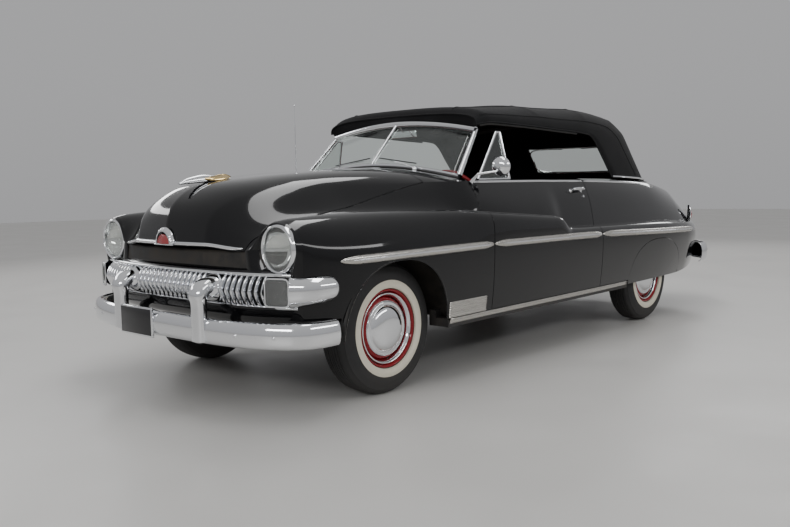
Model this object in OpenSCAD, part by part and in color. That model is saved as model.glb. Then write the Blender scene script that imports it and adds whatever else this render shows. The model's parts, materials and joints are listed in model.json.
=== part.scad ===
/* [Overall] */
// Distance between the front and rear axles
wheelbase = 2997; // [2500:1:3600]
// Scale of the body lines across the car, 1 for a body 1950 wide
width_scale = 1; // [0.83:0.01:1.2]
// Track of the front wheels, between tyre centres
front_track = 1486; // [1300:1:1550]
// Track of the rear wheels, between tyre centres
rear_track = 1524; // [1300:1:1560]

/* [Wheels] */
// Outside diameter of a tyre
tyre_d = 700; // [600:1:740]
// Width of a tyre
tyre_w = 186; // [150:1:200]
// Diameter of the rim's bead seat
rim_d = 386; // [340:1:420]
// Diameter of the hub bore that runs on the spindle
hub_bore_d = 60; // [40:1:80]

/* [Panels] */
// Gap between neighbouring outer panels
panel_gap = 7; // [6:0.5:10]
// Thickness of fenders, hood, lid and deck, folded edges included
skin_t = 18; // [14:1:24]
// Thickness of a whole door or rear wall
door_t = 80; // [60:1:100]
// Height of the sill's lower edge over the ground
sill_z = 312; // [260:1:340]
// Height of the door's lower edge over the ground
door_z = 366; // [360:1:390]

/* [Seating] */
// Height of the front seat cushion's top over the ground
seat_z = 690; // [620:1:740]
// Width of the bench seats
seat_w = 1260; // [1000:1:1300]
// Diameter of the steering wheel
steer_d = 440; // [380:1:460]

/* [Glass and top] */
// Thickness of the glass
glass_t = 6; // [4:1:8]
// Thickness of the canvas with its pads
canvas_t = 14; // [10:1:20]

/* [Hidden] */
$fn = 48;

paint = [0.02, 0.02, 0.025];
canvas = [0.08, 0.08, 0.08];
chrome = [0.8, 0.82, 0.84];
steel = [0.12, 0.12, 0.13];
trim_red = [0.35, 0.05, 0.06];
wheel_red = [0.55, 0.03, 0.06];
rubber = [0.05, 0.05, 0.05];
clear = [0.8, 0.88, 0.9, 0.4];

// The body lines below are drawn for this wheelbase
design_wheelbase = 2997;
front_axle_y = -1750 * wheelbase / design_wheelbase;
rear_axle_y = front_axle_y + wheelbase;
axle_z = tyre_d / 2;
ky = wheelbase / design_wheelbase;
kx = width_scale;

// ---- Body lines: stations along the car, u being y on the line of greatest width
front_u = -2368;
hood_back_u = -1250;
cowl_back_u = -945;
door_front_u = -980;
door_back_u = 310;
lid_front_u = 1810;
rear_u = 2495;

// Centre line of hood, cowl and deck: [u, y, z]
centre_line = [[front_u, -2540, 812], [-2335, -2528, 930], [-2270, -2470, 1035], [-2170, -2330, 1118],
    [-1990, -2070, 1155], [-1750, -1750, 1174], [hood_back_u, -1250, 1192], [cowl_back_u, -945, 1212],
    [lid_front_u, 1810, 1062], [2050, 2090, 985], [2250, 2330, 885], [2400, 2450, 830], [rear_u, 2495, 785]];
// Shoulder, then belt: [u, x, y, z]
shoulder_line = [[front_u, 300, -2512, 812], [-2335, 300, -2495, 915], [-2270, 315, -2430, 1000],
    [-2170, 345, -2290, 1062], [-1990, 400, -2045, 1092], [-1750, 470, -1750, 1106],
    [hood_back_u, 660, -1250, 1110], [door_front_u, 780, -980, 1113], [door_back_u, 797, 310, 1106],
    [1300, 778, 1300, 1068], [lid_front_u, 728, 1810, 1005], [2050, 690, 2060, 935],
    [2250, 640, 2260, 850], [2400, 592, 2395, 790], [rear_u, 560, 2440, 770]];
// Valley between hood and fender, then the inner corner of the crease: [u, x, y, z]
valley_line = [[front_u, 540, -2440, 800], [-2335, 548, -2400, 838], [-2270, 560, -2330, 868],
    [-2170, 580, -2220, 898], [-1990, 618, -2010, 925], [-1750, 680, -1750, 942],
    [hood_back_u, 806, -1250, 950], [door_front_u, 872, -980, 926], [-330, 890, -330, 884],
    [-200, 890, -200, 868], [-90, 890, -90, 806], [door_back_u, 892, 310, 792], [1300, 882, 1300, 775],
    [lid_front_u, 856, 1810, 758], [2050, 815, 2055, 745], [2250, 745, 2265, 735], [2400, 650, 2408, 725],
    [rear_u, 568, 2462, 712]];
// Crown of the front fender, then the edge of the crease: [u, x, y, z]
crown_line = [[front_u, 730, -2385, 942], [-2335, 735, -2345, 950], [-2270, 742, -2275, 956],
    [-2170, 755, -2172, 961], [-1990, 780, -1990, 965], [-1750, 815, -1750, 966],
    [hood_back_u, 872, -1250, 958], [door_front_u, 908, -980, 936], [-330, 928, -330, 886],
    [-200, 932, -200, 866], [-90, 928, -90, 800], [door_back_u, 928, 310, 784], [1300, 920, 1300, 766],
    [lid_front_u, 886, 1810, 746], [2050, 838, 2052, 735], [2250, 765, 2262, 724], [2400, 666, 2412, 714],
    [rear_u, 574, 2472, 690]];
// Line of greatest width: [u, x, z]
wide_line = [[front_u, 862, 806], [-2335, 880, 790], [-2270, 905, 772], [-2170, 930, 758],
    [-1990, 953, 748], [-1750, 963, 744], [hood_back_u, 966, 740], [door_front_u, 966, 736],
    [door_back_u, 966, 690], [1300, 960, 668], [lid_front_u, 930, 650], [2050, 885, 636],
    [2250, 815, 622], [2400, 718, 612], [rear_u, 588, 600]];
// Downward slope in degrees of the section at the shoulder, before and after it,
// and at the valley, before and after it: [u, ...]
slopes = [[front_u, 0, 0, -12, -38], [-2335, 12, 12, 8, -24], [-2270, 22, 22, 16, -14],
    [-2170, 28, 28, 20, -10], [-1990, 36, 36, 18, -10], [-1750, 42, 42, 16, -8],
    [hood_back_u, 32, 40, 42, -8], [door_front_u, 12, 58, 80, -4], [-330, 12, 58, 82, 0],
    [-90, 12, 58, 82, 5], [door_back_u, 12, 58, 82, 5], [lid_front_u, 30, 48, 80, 5],
    [rear_u, 20, 84, 86, 40]];
// How far the section tucks in from its greatest width down to the sill: [u, x]
tuck_line = [[front_u, 20], [-1750, 30], [door_front_u, 34], [door_back_u, 34], [lid_front_u, 60],
    [2250, 70], [rear_u, 20]];
// Place of the hood's seam on the section, 1 the shoulder and 2 the valley: [u, s]
hood_seam = [[front_u, 1.94], [-2170, 1.93], [-1990, 1.8], [-1750, 1.6], [hood_back_u, 1]];
// Place of the deck's seam on the section, 0 the centre and 1 the shoulder: [u, s]
deck_seam = [[door_back_u, 0.94], [1300, 0.94], [1560, 0.9], [1700, 0.84], [lid_front_u, 0.76], [2250, 0.86],
    [rear_u, 0.975]];

// Front wheel arch in the fender: half length and height over the ground
arch_half = tyre_d / 2 + 34;
arch_top_z = axle_z + tyre_d / 2 + 22;
arch_y = front_axle_y - 26;
// Lower edge of the fender ahead of the arch, and of the body behind the skirt
nose_low_z = 470;
tail_low_z = 372;
// Opening for the rear wheel that the skirt closes
skirt_front_y = rear_axle_y - 500;
skirt_back_y = rear_axle_y + 430;
skirt_top_z = 648;
skirt_low_z = 336;

// Windshield: place of its lower corner on the cowl's section, and its upper edge
screen_u = cowl_back_u - 12;
screen_s = 0.885;
screen_top_y = -684 * ky;
screen_top_x = 618 * kx;
screen_top_z = 1492;
screen_vee = 42;
frame_low_d = 22;
frame_top_d = 36;
pillar_d = 34;
divider_d = 18;
vent_low_x = 766 * kx;
vent_high_x = 702 * kx;

// Structure
floor_z = 400;
floor_back_z = 560;
floor_back_x = 630;
rocker_in_x = 792 * kx;
quarter_t = 36;
rear_bulge = 55;
seam = 0.3;
skirt_seam = 0.8;
skirt_inset = 3;
strap_drop = 2.4;
lid_drop = 4.2;
deck_drop = 1.8;
rail_joint_y = 640;
rear_gap = 16;
glass_gap = 1.8;
door_bevel = 20;
hole_d = 13;
hole_pitch = 200;
guard_d = 84;
lamp_x = 730 * kx;
lamp_y = -2386 * ky;
lamp_z = 810;
bezel_d = 238;
lamp_depth = (2386 - 2290) * ky;
dash_half = 640 * kx;
shaft_d = 22;
pin_x = front_track / 2 - 118;
arm_t = 28;
arm_low_z = 245;
arm_high_z = 470;
hub_half = 46;

// Soft top: centre line from header to base [y, z], and half width at the eave [y, x]
top_side_y = 1300 * ky;
top_back_y = 1762 * ky;
base_half = 733 * kx;
base_power = 3.2;
top_profile = [[-712, 1546], [-690, 1580], [-600, 1595], [-300, 1622], [100, 1638], [600, 1648], [950, 1640],
    [1230, 1592], [1420, 1505], [1470, 1462], [1600, 1290], [1758, 1080]];
// The edge runs over the door glass and down behind the quarter window: [y, x, z]
eave_profile = [[-712, 640, 1458], [-600, 672, 1474], [-300, 700, 1466], [100, 715, 1450], [520, 722, 1426],
    [590, 724, 1390], [690, 730, 1280], [830, 733, 1122]];

// Rows of the canvas from header to base: [v, y of the centre, y of the edge, roundness in plan, in height]
top_rows = [[0, -712, -712, 3, 3.4], [0.03, -690, -660, 3, 3.2], [0.1, -520, -510, 3, 3], [0.3, -60, -60, 3, 2.8],
    [0.5, 600, 380, 3, 2.8], [0.64, 1110, 520, 3.2, 2.7], [0.76, 1420, 590, 3.4, 2.6], [0.88, 1580, 690, 3.6, 2.8],
    [1, 1758, 830, 4, 3]];

// ---- Curves and sections
function slope_at(p, i, k) = let(a = max(0, i - 1), b = min(len(p) - 1, i + 1))
    (p[b][k] - p[a][k]) / (p[b][0] - p[a][0]);
function step_of(p, u, i = 0) = i >= len(p) - 2 || u <= p[i + 1][0] ? i : step_of(p, u, i + 1);
// Smooth curve through column k of a line's points, at station u
function along(p, u, k = 1) = let(
    i = step_of(p, u),
    w = p[i + 1][0] - p[i][0],
    t = min(1, max(0, (u - p[i][0]) / w)),
    rise = (p[i + 1][k] - p[i][k]) / w,
    flat = p[i + 1][k] == p[i][k],
    m0 = flat ? 0 : slope_at(p, i, k),
    m1 = flat ? 0 : slope_at(p, i + 1, k),
    c0 = sign(m0) == sign(rise) ? sign(m0) * min(abs(m0), 3 * abs(rise)) : 0,
    c1 = sign(m1) == sign(rise) ? sign(m1) * min(abs(m1), 3 * abs(rise)) : 0)
    p[i][k] * (1 + 2 * t) * pow(1 - t, 2) + p[i + 1][k] * t * t * (3 - 2 * t)
    + w * (c0 * t * pow(1 - t, 2) - c1 * t * t * (1 - t));
function line_at(p, u) = [along(p, u, 1), along(p, u, 2), along(p, u, 3)];
function blend(a, b, t) = a + (b - a) * t;
// Span between two points that leaves and arrives at given downward slopes
function span(a, b, slope_a, slope_b, t) = let(
    d = b - a,
    reach = norm([d[0], d[2]]),
    ta = [cos(slope_a) * reach, d[1], -sin(slope_a) * reach],
    tb = [cos(slope_b) * reach, d[1], -sin(slope_b) * reach])
    a * (1 + 2 * t) * pow(1 - t, 2) + b * t * t * (3 - 2 * t)
    + ta * t * pow(1 - t, 2) - tb * t * t * (1 - t);
// Lower edge of the outer panels at side position y
function oval(v, half, height) = abs(v) >= half ? 0 : height * pow(1 - pow(abs(v) / half, 2.3), 1 / 2.3);
function low_z(y) = let(
    a = oval(y - arch_y, arch_half, arch_top_z - sill_z),
    m = (skirt_front_y + skirt_back_y) / 2,
    b = oval(y - m, (skirt_back_y - skirt_front_y) / 2, skirt_top_z - skirt_low_z))
    a > 0 ? sill_z + a
    : y < arch_y ? nose_low_z
    : b > 0 ? skirt_low_z + b
    : y > skirt_back_y ? blend(skirt_low_z, tail_low_z + 40, pow(min(1, (y - skirt_back_y) / 800), 1.3))
    : door_z;
// Point of the body's left surface: s runs 0 centre, 1 shoulder, 2 valley, 3 crown,
// 4 greatest width, 5 height low
function body_raw(u, s, low) = let(
    c = [0, along(centre_line, u, 1), along(centre_line, u, 2)],
    sh = line_at(shoulder_line, u),
    va = line_at(valley_line, u),
    cr = line_at(crown_line, u),
    wi = [along(wide_line, u, 1), u, along(wide_line, u, 2)])
    s <= 1 ? span(c, sh, 0, along(slopes, u, 1), s)
    : s <= 2 ? span(sh, va, along(slopes, u, 2), along(slopes, u, 3), s - 1)
    : s <= 3 ? span(va, cr, along(slopes, u, 4), 8, s - 2)
    : s <= 4 ? span(cr, wi, 8, 90, s - 3)
    : let(z = blend(wi[2], low, s - 4), drop = (wi[2] - z) / (wi[2] - sill_z))
        [wi[0] - along(tuck_line, u) * drop * drop, u, z];
function body_pt(u, s, low) = let(p = body_raw(u, abs(s), low)) [sign(s) * p[0] * kx + 0, p[1] * ky, p[2]];
// The body lines are drawn at the design wheelbase, so edge heights are looked up at true y
function body_at(u, s) = body_pt(u, s, low_z(u * ky));

// Grid helpers
function steps(a, b, n) = [for (i = [0:n]) a + (b - a) * i / n];
function unit(v) = v / max(0.000001, norm(v));
function normal_at(g, i, j) = let(
    r = len(g) - 1,
    c = len(g[0]) - 1,
    du = g[min(r, i + 1)][j] - g[max(0, i - 1)][j],
    dv = g[i][min(c, j + 1)] - g[i][max(0, j - 1)])
    unit(cross(du, dv));
// Copy of a grid, t behind it; rows run rearwards and columns outwards, so this is inwards
function behind(g, t) = [for (i = [0:len(g) - 1]) [for (j = [0:len(g[0]) - 1]) g[i][j] + t * normal_at(g, i, j)]];
function shifted(g, v) = [for (row = g) [for (p = row) p + v]];

// Closed wall between an outer grid g and an inner grid h of the same size
module wall(g, h) {
    r = len(g);
    c = len(g[0]);
    n = r * c;
    points = concat([for (row = g) for (p = row) p], [for (row = h) for (p = row) p]);
    outer = [for (i = [0:r - 2]) for (j = [0:c - 2]) let(a = i * c + j)
        each [[a, a + c + 1, a + 1], [a, a + c, a + c + 1]]];
    inner = [for (f = outer) [f[0] + n, f[2] + n, f[1] + n]];
    rim = concat([for (j = [0:c - 2]) j + 1], [for (i = [1:r - 1]) i * c + c - 1],
        [for (j = [c - 2:-1:0]) (r - 1) * c + j], [for (i = [r - 2:-1:0]) i * c]);
    start = concat([0], rim);
    sides = [for (k = [0:len(rim) - 1]) let(a = start[k], b = start[k + 1])
        each [[a, n + b, n + a], [a, b, n + b]]];
    polyhedron(points, concat(outer, inner, sides), convexity = 8);
}
module both_sides() {
    children();
    mirror([1, 0, 0]) children();
}
module box(low, high) {
    translate(low) cube(high - low);
}
// Round bar from a to b
module bar(a, b, d) {
    v = b - a;
    translate(a) rotate([0, acos(v[2] / norm(v)), atan2(v[1], v[0])]) cylinder(d = d, h = norm(v));
}

// ---- Outer panels
arch_us = [for (a = [168:-18:12]) (arch_y + arch_half * cos(a)) / ky];
fender_us = concat([front_u, -2335, -2270, -2200], arch_us, [-1360, -1180, -1060, door_front_u - panel_gap / 2]);
function fender_row(u) = let(s0 = u <= hood_back_u + 1 ? along(hood_seam, u) + 0.03 : 1)
    concat([for (s = steps(s0, 2, 4)) body_at(u, s)], [for (s = steps(2, 3, 4)) if (s > 2) body_at(u, s)],
        [for (s = steps(3, 4, 4)) if (s > 3) body_at(u, s)], [for (s = steps(4, 5, 3)) if (s > 4) body_at(u, s)]);
module front_fender() {
    g = [for (u = fender_us) fender_row(u)];
    color(paint) difference() {
        wall(g, behind(g, skin_t));
        translate([lamp_x, lamp_y + 2, lamp_z]) rotate([90, 0, 0]) cylinder(d = bezel_d + 2 * seam, h = 60);
    }
}
module front_fender_left() {
    front_fender();
}
module front_fender_right() {
    mirror([1, 0, 0]) front_fender();
}

module hood() {
    us = concat([front_u, -2350, -2320, -2280, -2230, -2170, -2080], steps(-1990, hood_back_u, 5));
    g = [for (u = us) let(s1 = along(hood_seam, u) - 0.02)
        concat([for (s = steps(-s1, 0, 12)) body_at(u, s)], [for (s = steps(0, s1, 12)) if (s > 0) body_at(u, s)])];
    color(paint) wall(g, behind(g, skin_t));
}

module cowl() {
    wide = concat(steps(hood_back_u + panel_gap, door_front_u - seam, 3));
    narrow = [door_front_u - seam + 0.5, cowl_back_u];
    full = 1 - 15 / 780;
    inner = 1 - (door_t + 2 * panel_gap) / 780;
    g = concat([for (u = wide) [for (s = steps(-full, full, 16)) body_at(u, s)]],
        [for (u = narrow) [for (s = steps(-inner, inner, 16)) body_at(u, s)]]);
    color(paint) wall(g, behind(g, skin_t));
}

// A door is its outer skin and an inner side door_t behind it, shorter at the rear by
// door_bevel so that it swings clear of the quarter
door_us = concat([door_front_u + panel_gap / 2, -800, -600, -400, -300, -230, -190, -150, -110, -60, 40],
    [180, door_back_u - panel_gap / 2]);
door_s = concat(steps(1, 2, 4), [2.25, 2.5, 2.75], steps(3, 4, 4), [4.34, 4.67, 5]);
module door() {
    g = [for (u = door_us) [for (s = door_s) body_at(u, s)]];
    last = len(door_us) - 1;
    h = [for (i = [0:last]) [for (p = g[i]) p - [door_t, i == last ? door_bevel : 0, 0]]];
    color(paint) wall(g, h);
}
module door_left() {
    door();
}
module door_right() {
    mirror([1, 0, 0]) door();
}

skirt_us = [for (a = [170:-16:10]) ((skirt_front_y + skirt_back_y) / 2
    + (skirt_back_y - skirt_front_y) / 2 * cos(a)) / ky];
quarter_us = concat([door_back_u + panel_gap / 2, 520], skirt_us,
    [1720, lid_front_u, 1930, 2050, 2160, 2250, 2330, 2400, 2455, rear_u]);
function quarter_row(u) = concat(
    [for (s = steps(along(deck_seam, u) + 0.012, 1, 2)) body_at(u, s)],
    [for (s = steps(1, 2, 4)) if (s > 1) body_at(u, s)],
    [for (s = steps(2, 3, 3)) if (s > 2) body_at(u, s)],
    [for (s = steps(3, 4, 4)) if (s > 3) body_at(u, s)],
    [for (s = steps(4, 5, 3)) if (s > 4) body_at(u, s)]);
module rear_quarter() {
    g = [for (u = quarter_us) quarter_row(u)];
    color(paint) wall(g, behind(g, quarter_t));
}
module rear_quarter_left() {
    rear_quarter();
}
module rear_quarter_right() {
    mirror([1, 0, 0]) rear_quarter();
}

module fender_skirts() {
    m = (skirt_us[0] + skirt_us[len(skirt_us) - 1]) / 2;
    half = m - skirt_us[0];
    g = [for (u = skirt_us) [for (t = steps(low_z(u * ky) - skirt_seam, skirt_low_z, 4))
        body_pt(u - skirt_inset * (u - m) / half, 5, t)]];
    color(paint) both_sides() wall(g, behind(g, skin_t));
}

module rocker_panels() {
    y0 = arch_y + arch_half + 20;
    y1 = skirt_front_y - panel_gap;
    x1 = 928 * kx;
    color(chrome) both_sides() {
        box([rocker_in_x, y0, sill_z], [x1, y1, door_z - panel_gap]);
        box([rocker_in_x, y0, door_z - panel_gap - 1], [rocker_in_x + 45, y1, floor_z]);
    }
}

// Rounded line of the soft top's base in plan, as station and place on the section
function base_pt(a) = let(
    y = top_side_y + (top_back_y - top_side_y) * pow(sin(a), 2 / base_power),
    x = base_half * pow(cos(a), 2 / base_power),
    u = y / ky)
    body_at(u, x / (along(shoulder_line, u, 1) * kx));
module rear_deck() {
    back = concat([for (s = steps(0, along(deck_seam, lid_front_u) - 0.02, 5)) body_at(lid_front_u - panel_gap / 2, s)],
        [for (u = [1750, 1690, 1620, 1540, 1440, 1320]) body_at(u, along(deck_seam, u) - 0.012)]);
    n = len(back) - 1;
    front = [for (i = [0:n]) base_pt(90 - 62 * i / n)];
    half = [for (i = [0:n]) [front[i], (front[i] + back[i]) / 2, back[i]]];
    g = concat([for (i = [n:-1:1]) [for (p = half[i]) [-p[0], p[1], p[2]]]], half);
    color(paint) wall(behind(g, -skin_t), g);
}

// Rows of the body's rear face between the quarters, s running down from the shoulder
function rear_row(s, n) = let(e = body_at(rear_u, s))
    [for (t = steps(-1, 1, n)) [t * (e[0] - rear_gap), e[1] + rear_bulge * (1 - t * t), e[2]]];
module trunk_lid() {
    us = concat(steps(lid_front_u + panel_gap / 2, 2400, 7), [2455, rear_u]);
    top = [for (u = us) let(s1 = along(deck_seam, u) - 0.012) [for (s = steps(-s1, s1, 16)) body_at(u, s)]];
    face = [for (s = [1.35, 1.8, 2.5, 3.3, 3.9]) rear_row(s, 16)];
    g = concat(top, face);
    color(paint) wall(g, behind(g, skin_t));
}
module rear_valance() {
    g = [for (s = [4.02, 4.3, 4.65, 5]) rear_row(s, 12)];
    color(paint) {
        difference() {
            wall(g, behind(g, skin_t));
            both_sides() box([385, 2440 * ky, 470], [450, 2600 * ky, 530]);
        }
        box([-60, 2350 * ky + seam, 500], [60, rear_u * ky + rear_bulge - 8, 530]);
    }
}

// ---- Bright work
// Band that wraps round an end of the car: half width a, from end_y out to end_y + reach,
// with the section's points as [offset outwards, z]
function band_pt(a, end_y, reach, power, t, o, z) = let(
    c = pow(abs(cos(t)), 2 / power),
    s = pow(abs(sin(t)), 2 / power),
    n = unit([sign(t) * pow(s, power - 1) / a, pow(c, power - 1) / reach]))
    [sign(t) * a * s + o * n[0], end_y + reach * c + o * n[1], z];
module band(a, end_y, reach, power, section, depth) {
    way = sign(reach);
    ts = [for (i = [-10:10]) 89.5 * sign(i) * pow(abs(i) / 10, 0.9)];
    g = [for (t = ts) [for (p = section) band_pt(a, end_y, abs(reach), power, t, p[0], p[1])]];
    h = [for (t = ts) [for (p = section) band_pt(a, end_y, abs(reach), power, t, p[0] - depth, p[1])]];
    if (way > 0) wall(g, h);
    else translate([0, 2 * end_y, 0]) mirror([0, 1, 0]) wall(g, h);
}
module guard(x, y, z0, z1) {
    bar([x, y, z0], [x, y, z1], guard_d);
    translate([x, y, z1]) sphere(d = guard_d);
}
module front_bumper() {
    color(chrome) {
        band(948 * kx, -2212 * ky, -396, 3, [[-14, 346], [2, 372], [8, 408], [0, 446], [-20, 470]], 22);
        both_sides() {
            guard(354 * kx, -2603 * ky, 380, 570);
            bar([354 * kx, -2603 * ky, 590], [354 * kx, -2575 * ky, 598], guard_d);
            box([395, -2585 * ky, 385], [440, -2300 * ky, 425]);
        }
    }
}
module rear_bumper() {
    color(chrome) {
        band(930 * kx, 2085 * ky, 520, 2.6, [[-14, 392], [2, 420], [8, 460], [0, 510], [-20, 545]], 20);
        both_sides() {
            guard(400 * kx, 2586 * ky, 430, 590);
            box([395, 2352 * ky, 480], [440, 2580 * ky, 520]);
        }
    }
}
module grille() {
    color(chrome) {
        band(955 * kx, -2185 * ky, -355, 2.9, [[-16, 528], [-4, 548], [4, 580], [8, 612], [0, 648], [-8, 674],
            [-16, 686]], 10);
        both_sides() box([246, -2525 * ky, 560], [286, -2290 * ky - seam, 600]);
    }
}

module headlamps() {
    color(chrome) both_sides() translate([lamp_x, lamp_y, lamp_z]) rotate([90, 0, 0]) {
        cylinder(d = bezel_d, h = 40);
        translate([0, 0, -lamp_depth]) cylinder(d = 176, h = lamp_depth + 1);
    }
}
module tail_lamps() {
    u = 2250;
    p = body_at(u, 2.9);
    color(chrome) both_sides() translate([p[0] - 2, p[1] + 10, p[2] + 12]) rotate([0, 0, -55])
        box([-26, -16, 0], [26, 24, 118]);
}

// ---- Structure
rail_in = 380;
rail_out = 455;
module frame_rails() {
    color(steel) both_sides() box([rail_in, -2300 * ky, 290], [rail_out, (rail_joint_y - seam) * ky, floor_z]);
}
// The rails rise over the rear axle
module rear_frame_rails() {
    low = [[rail_joint_y, 290], [660, 290], [815, 470], [2352, 470]];
    high = [[2352, floor_back_z], [840, floor_back_z], [664, floor_z], [rail_joint_y, floor_z]];
    side = [for (p = concat(low, high)) [p[0] * ky, p[1]]];
    color(steel) both_sides() translate([rail_out, 0, 0]) rotate([90, 0, -90])
        linear_extrude(rail_out - rail_in) polygon([for (p = side) [-p[0], p[1]]]);
}
// Two bolt holes through a crossmember from below
module bolt_pair(y, z, deep) {
    for (x = [-hole_pitch / 2, hole_pitch / 2]) translate([x, y, z - 1]) cylinder(d = hole_d, h = deep + 2);
}
module frame_crossmembers() {
    x = rail_in;
    color(steel) {
        box([-x, front_axle_y - 60, arm_low_z], [x, front_axle_y + 60, 330]);
        difference() {
            box([-x, -2300 * ky, 300], [x, -2240 * ky, 380]);
            bolt_pair(-2270 * ky, 300, 80);
        }
        for (y = [-1050, -200, 560]) box([-x, y * ky, 290], [x, y * ky + 80, 312]);
        for (y = [900, 1660]) box([-x, y * ky, 490], [x, y * ky + 60, floor_back_z]);
        difference() {
            box([-x, 2290 * ky, 490], [x, 2290 * ky + 60, floor_back_z]);
            bolt_pair(2290 * ky + 30, 490, floor_back_z - 490);
        }
    }
}
module floor_pan() {
    t = 10;
    back = 660 * ky;
    color(steel) {
        box([-rocker_in_x - 40, -1250 * ky, floor_z], [rocker_in_x + 40, back, floor_z + t]);
        box([-floor_back_x, back - t, floor_z], [floor_back_x, back, floor_back_z + t]);
        box([-floor_back_x, back - t, floor_back_z], [floor_back_x, 2380 * ky, floor_back_z + t]);
    }
}
module firewall() {
    color(paint) translate([0, -1250 * ky, 0]) rotate([90, 0, 0]) linear_extrude(12)
        polygon([for (p = [[-700, floor_z], [700, floor_z], [700, 880], [560, 1060], [-560, 1060], [-700, 880]])
            [p[0] * kx, p[1]]]);
}
module radiator() {
    y = -2290 * ky;
    color(steel) {
        box([-620 * kx, y, floor_z], [620 * kx, y + 18, 810]);
        box([-330, y + 18, 440], [330, y + 90, 800]);
        both_sides() box([610 * kx, y, 640], [800 * kx, y + 18, 872]);
    }
}
module engine_block() {
    color(steel) {
        box([-260, -1950 * ky, 330], [260, -1300 * ky, 820]);
        box([-170, -1850 * ky, 819], [170, -1400 * ky, 960]);
    }
}
// Curved leaf: touches the rail at its ends and the axle tube at its middle
module leaf(x, axle_y, axle_z) {
    half = 420;
    rise = 470 - 9 - (axle_z - 40 - 9);
    up = [for (v = steps(-1, 1, 10)) [axle_y + v * half, axle_z - 40 - 9 + rise * v * v + 9]];
    down = [for (v = steps(1, -1, 10)) [axle_y + v * half, axle_z - 40 - 9 + rise * v * v - 9]];
    translate([x + 25, 0, 0]) rotate([90, 0, -90]) linear_extrude(50)
        polygon([for (p = concat(up, down)) [-p[0], p[1]]]);
}
module rear_axle() {
    color(steel) {
        translate([-rear_track / 2 + 90, rear_axle_y, axle_z]) rotate([0, 90, 0])
            cylinder(d = 80, h = rear_track - 180);
        both_sides() translate([rear_track / 2 - 95, rear_axle_y, axle_z]) rotate([0, 90, 0])
            cylinder(d = hub_bore_d - 0.1, h = 95 + hub_half);
        translate([0, rear_axle_y + 110, axle_z]) rotate([90, 0, 0]) cylinder(d = 240, h = 220);
        translate([0, rear_axle_y - 109, axle_z]) rotate([90, 0, 0])
            cylinder(d = 70, h = rear_axle_y - 109 + 1300 * ky - seam);
        both_sides() leaf((rail_in + rail_out) / 2, rear_axle_y, axle_z);
    }
}
module front_suspension() {
    color(steel) both_sides() {
        for (z = [arm_low_z - arm_t, arm_high_z]) {
            box([z > 300 ? rail_in + 6 : 300, front_axle_y - 45, z], [pin_x, front_axle_y + 45, z + arm_t]);
            translate([pin_x, front_axle_y, z]) cylinder(d = 76, h = arm_t);
        }
        box([rail_in + 6, front_axle_y - 45, floor_z], [rail_out - 6, front_axle_y + 45, arm_high_z + 1]);
    }
}
module exhaust() {
    z = 290 - 25 - 0.3;
    color(steel) {
        bar([-230, -1230 * ky, z], [-230, 2420 * ky, z], 50);
        bar([-230, 40 * ky, z], [-230, 560 * ky - 40, z], 130);
    }
}
module fuel_tank() {
    color(steel) box([-360, 1760 * ky, 400], [360, 2240 * ky, floor_back_z - 0.3]);
}

// ---- Windshield
// Points along the lower and upper edges of the glass, t from -1 to 1 across the car
function screen_low(t) = let(p = body_at(screen_u + 26 * (abs(t) - 1), t * screen_s)) p + [0, 0, frame_low_d / 2 + 1.6];
function screen_high(t) = [t * screen_top_x, screen_top_y - screen_vee * (1 - abs(t)), screen_top_z - 62 * t * t];
screen_ts = steps(-1, 1, 10);
// Bar of rectangular section along a row of points, across the car
module rail(points, deep, high) {
    lo = shifted([points], [0, 0, -high / 2])[0];
    hi = shifted([points], [0, 0, high / 2])[0];
    wall(shifted([lo, hi], [0, -deep / 2, 0]), shifted([lo, hi], [0, deep / 2, 0]));
}
module windshield_frame() {
    color(chrome) {
        rail([for (t = screen_ts) screen_low(t)], frame_low_d, frame_low_d);
        rail([for (t = screen_ts) screen_high(t)], frame_top_d, frame_top_d);
        for (t = [-1, 1]) bar(screen_low(t), screen_high(t), pillar_d);
        bar(screen_low(0), screen_high(0), divider_d);
    }
}
// One flat pane each side of the divider
module windshield_glass() {
    edge = 1 - (pillar_d / 2 + glass_gap) / screen_top_x;
    mid = (divider_d / 2 + glass_gap / 2) / screen_top_x;
    ts = steps(mid, edge, 4);
    color(clear) both_sides() {
        g = [[for (t = ts) screen_low(t) + [0, 0, frame_low_d / 2 + glass_gap]],
            [for (t = ts) screen_high(t) - [0, 0, frame_top_d / 2 + glass_gap]]];
        wall(shifted(g, [0, -glass_t / 2, 0]), shifted(g, [0, glass_t / 2, 0]));
    }
}

// ---- Soft top
// Side edge of the canvas from header to base, as [y, x, z]
function eave_at(v) = let(y = along(top_rows, v, 2)) [along(eave_profile, y, 1) * kx, y * ky, along(eave_profile, y, 2)];
function crown_at(v) = let(y = along(top_rows, v, 1)) [0, y * ky, along(top_profile, y, 1)];
// Point of the canvas: v from header to base, a from 0 at the centre to 90 at the edge
function top_pt(v, a) = let(
    c = crown_at(v),
    e = eave_at(v),
    p = along(top_rows, v, 3),
    q = along(top_rows, v, 4),
    n = abs(a))
    [sign(a) * e[0] * pow(sin(n), 2 / p), e[1] + (c[1] - e[1]) * pow(cos(n), 2 / p),
        e[2] + (c[2] - e[2]) * pow(cos(n), 2 / q)];
top_vs = [0, 0.03, 0.06, 0.12, 0.2, 0.28, 0.31, 0.4, 0.5, 0.53, 0.6, 0.66, 0.69, 0.76, 0.82, 0.88, 0.94, 1];
top_as = steps(-89.9, 89.9, 24);
function top_grid() = [for (v = top_vs) [for (a = top_as) top_pt(v, a)]];
module soft_top() {
    g = top_grid();
    color(canvas) difference() {
        wall(g, behind(g, canvas_t));
        translate([-360, 1300 * ky, 1180]) cube([720, 500 * ky, 170]);
    }
}
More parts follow.
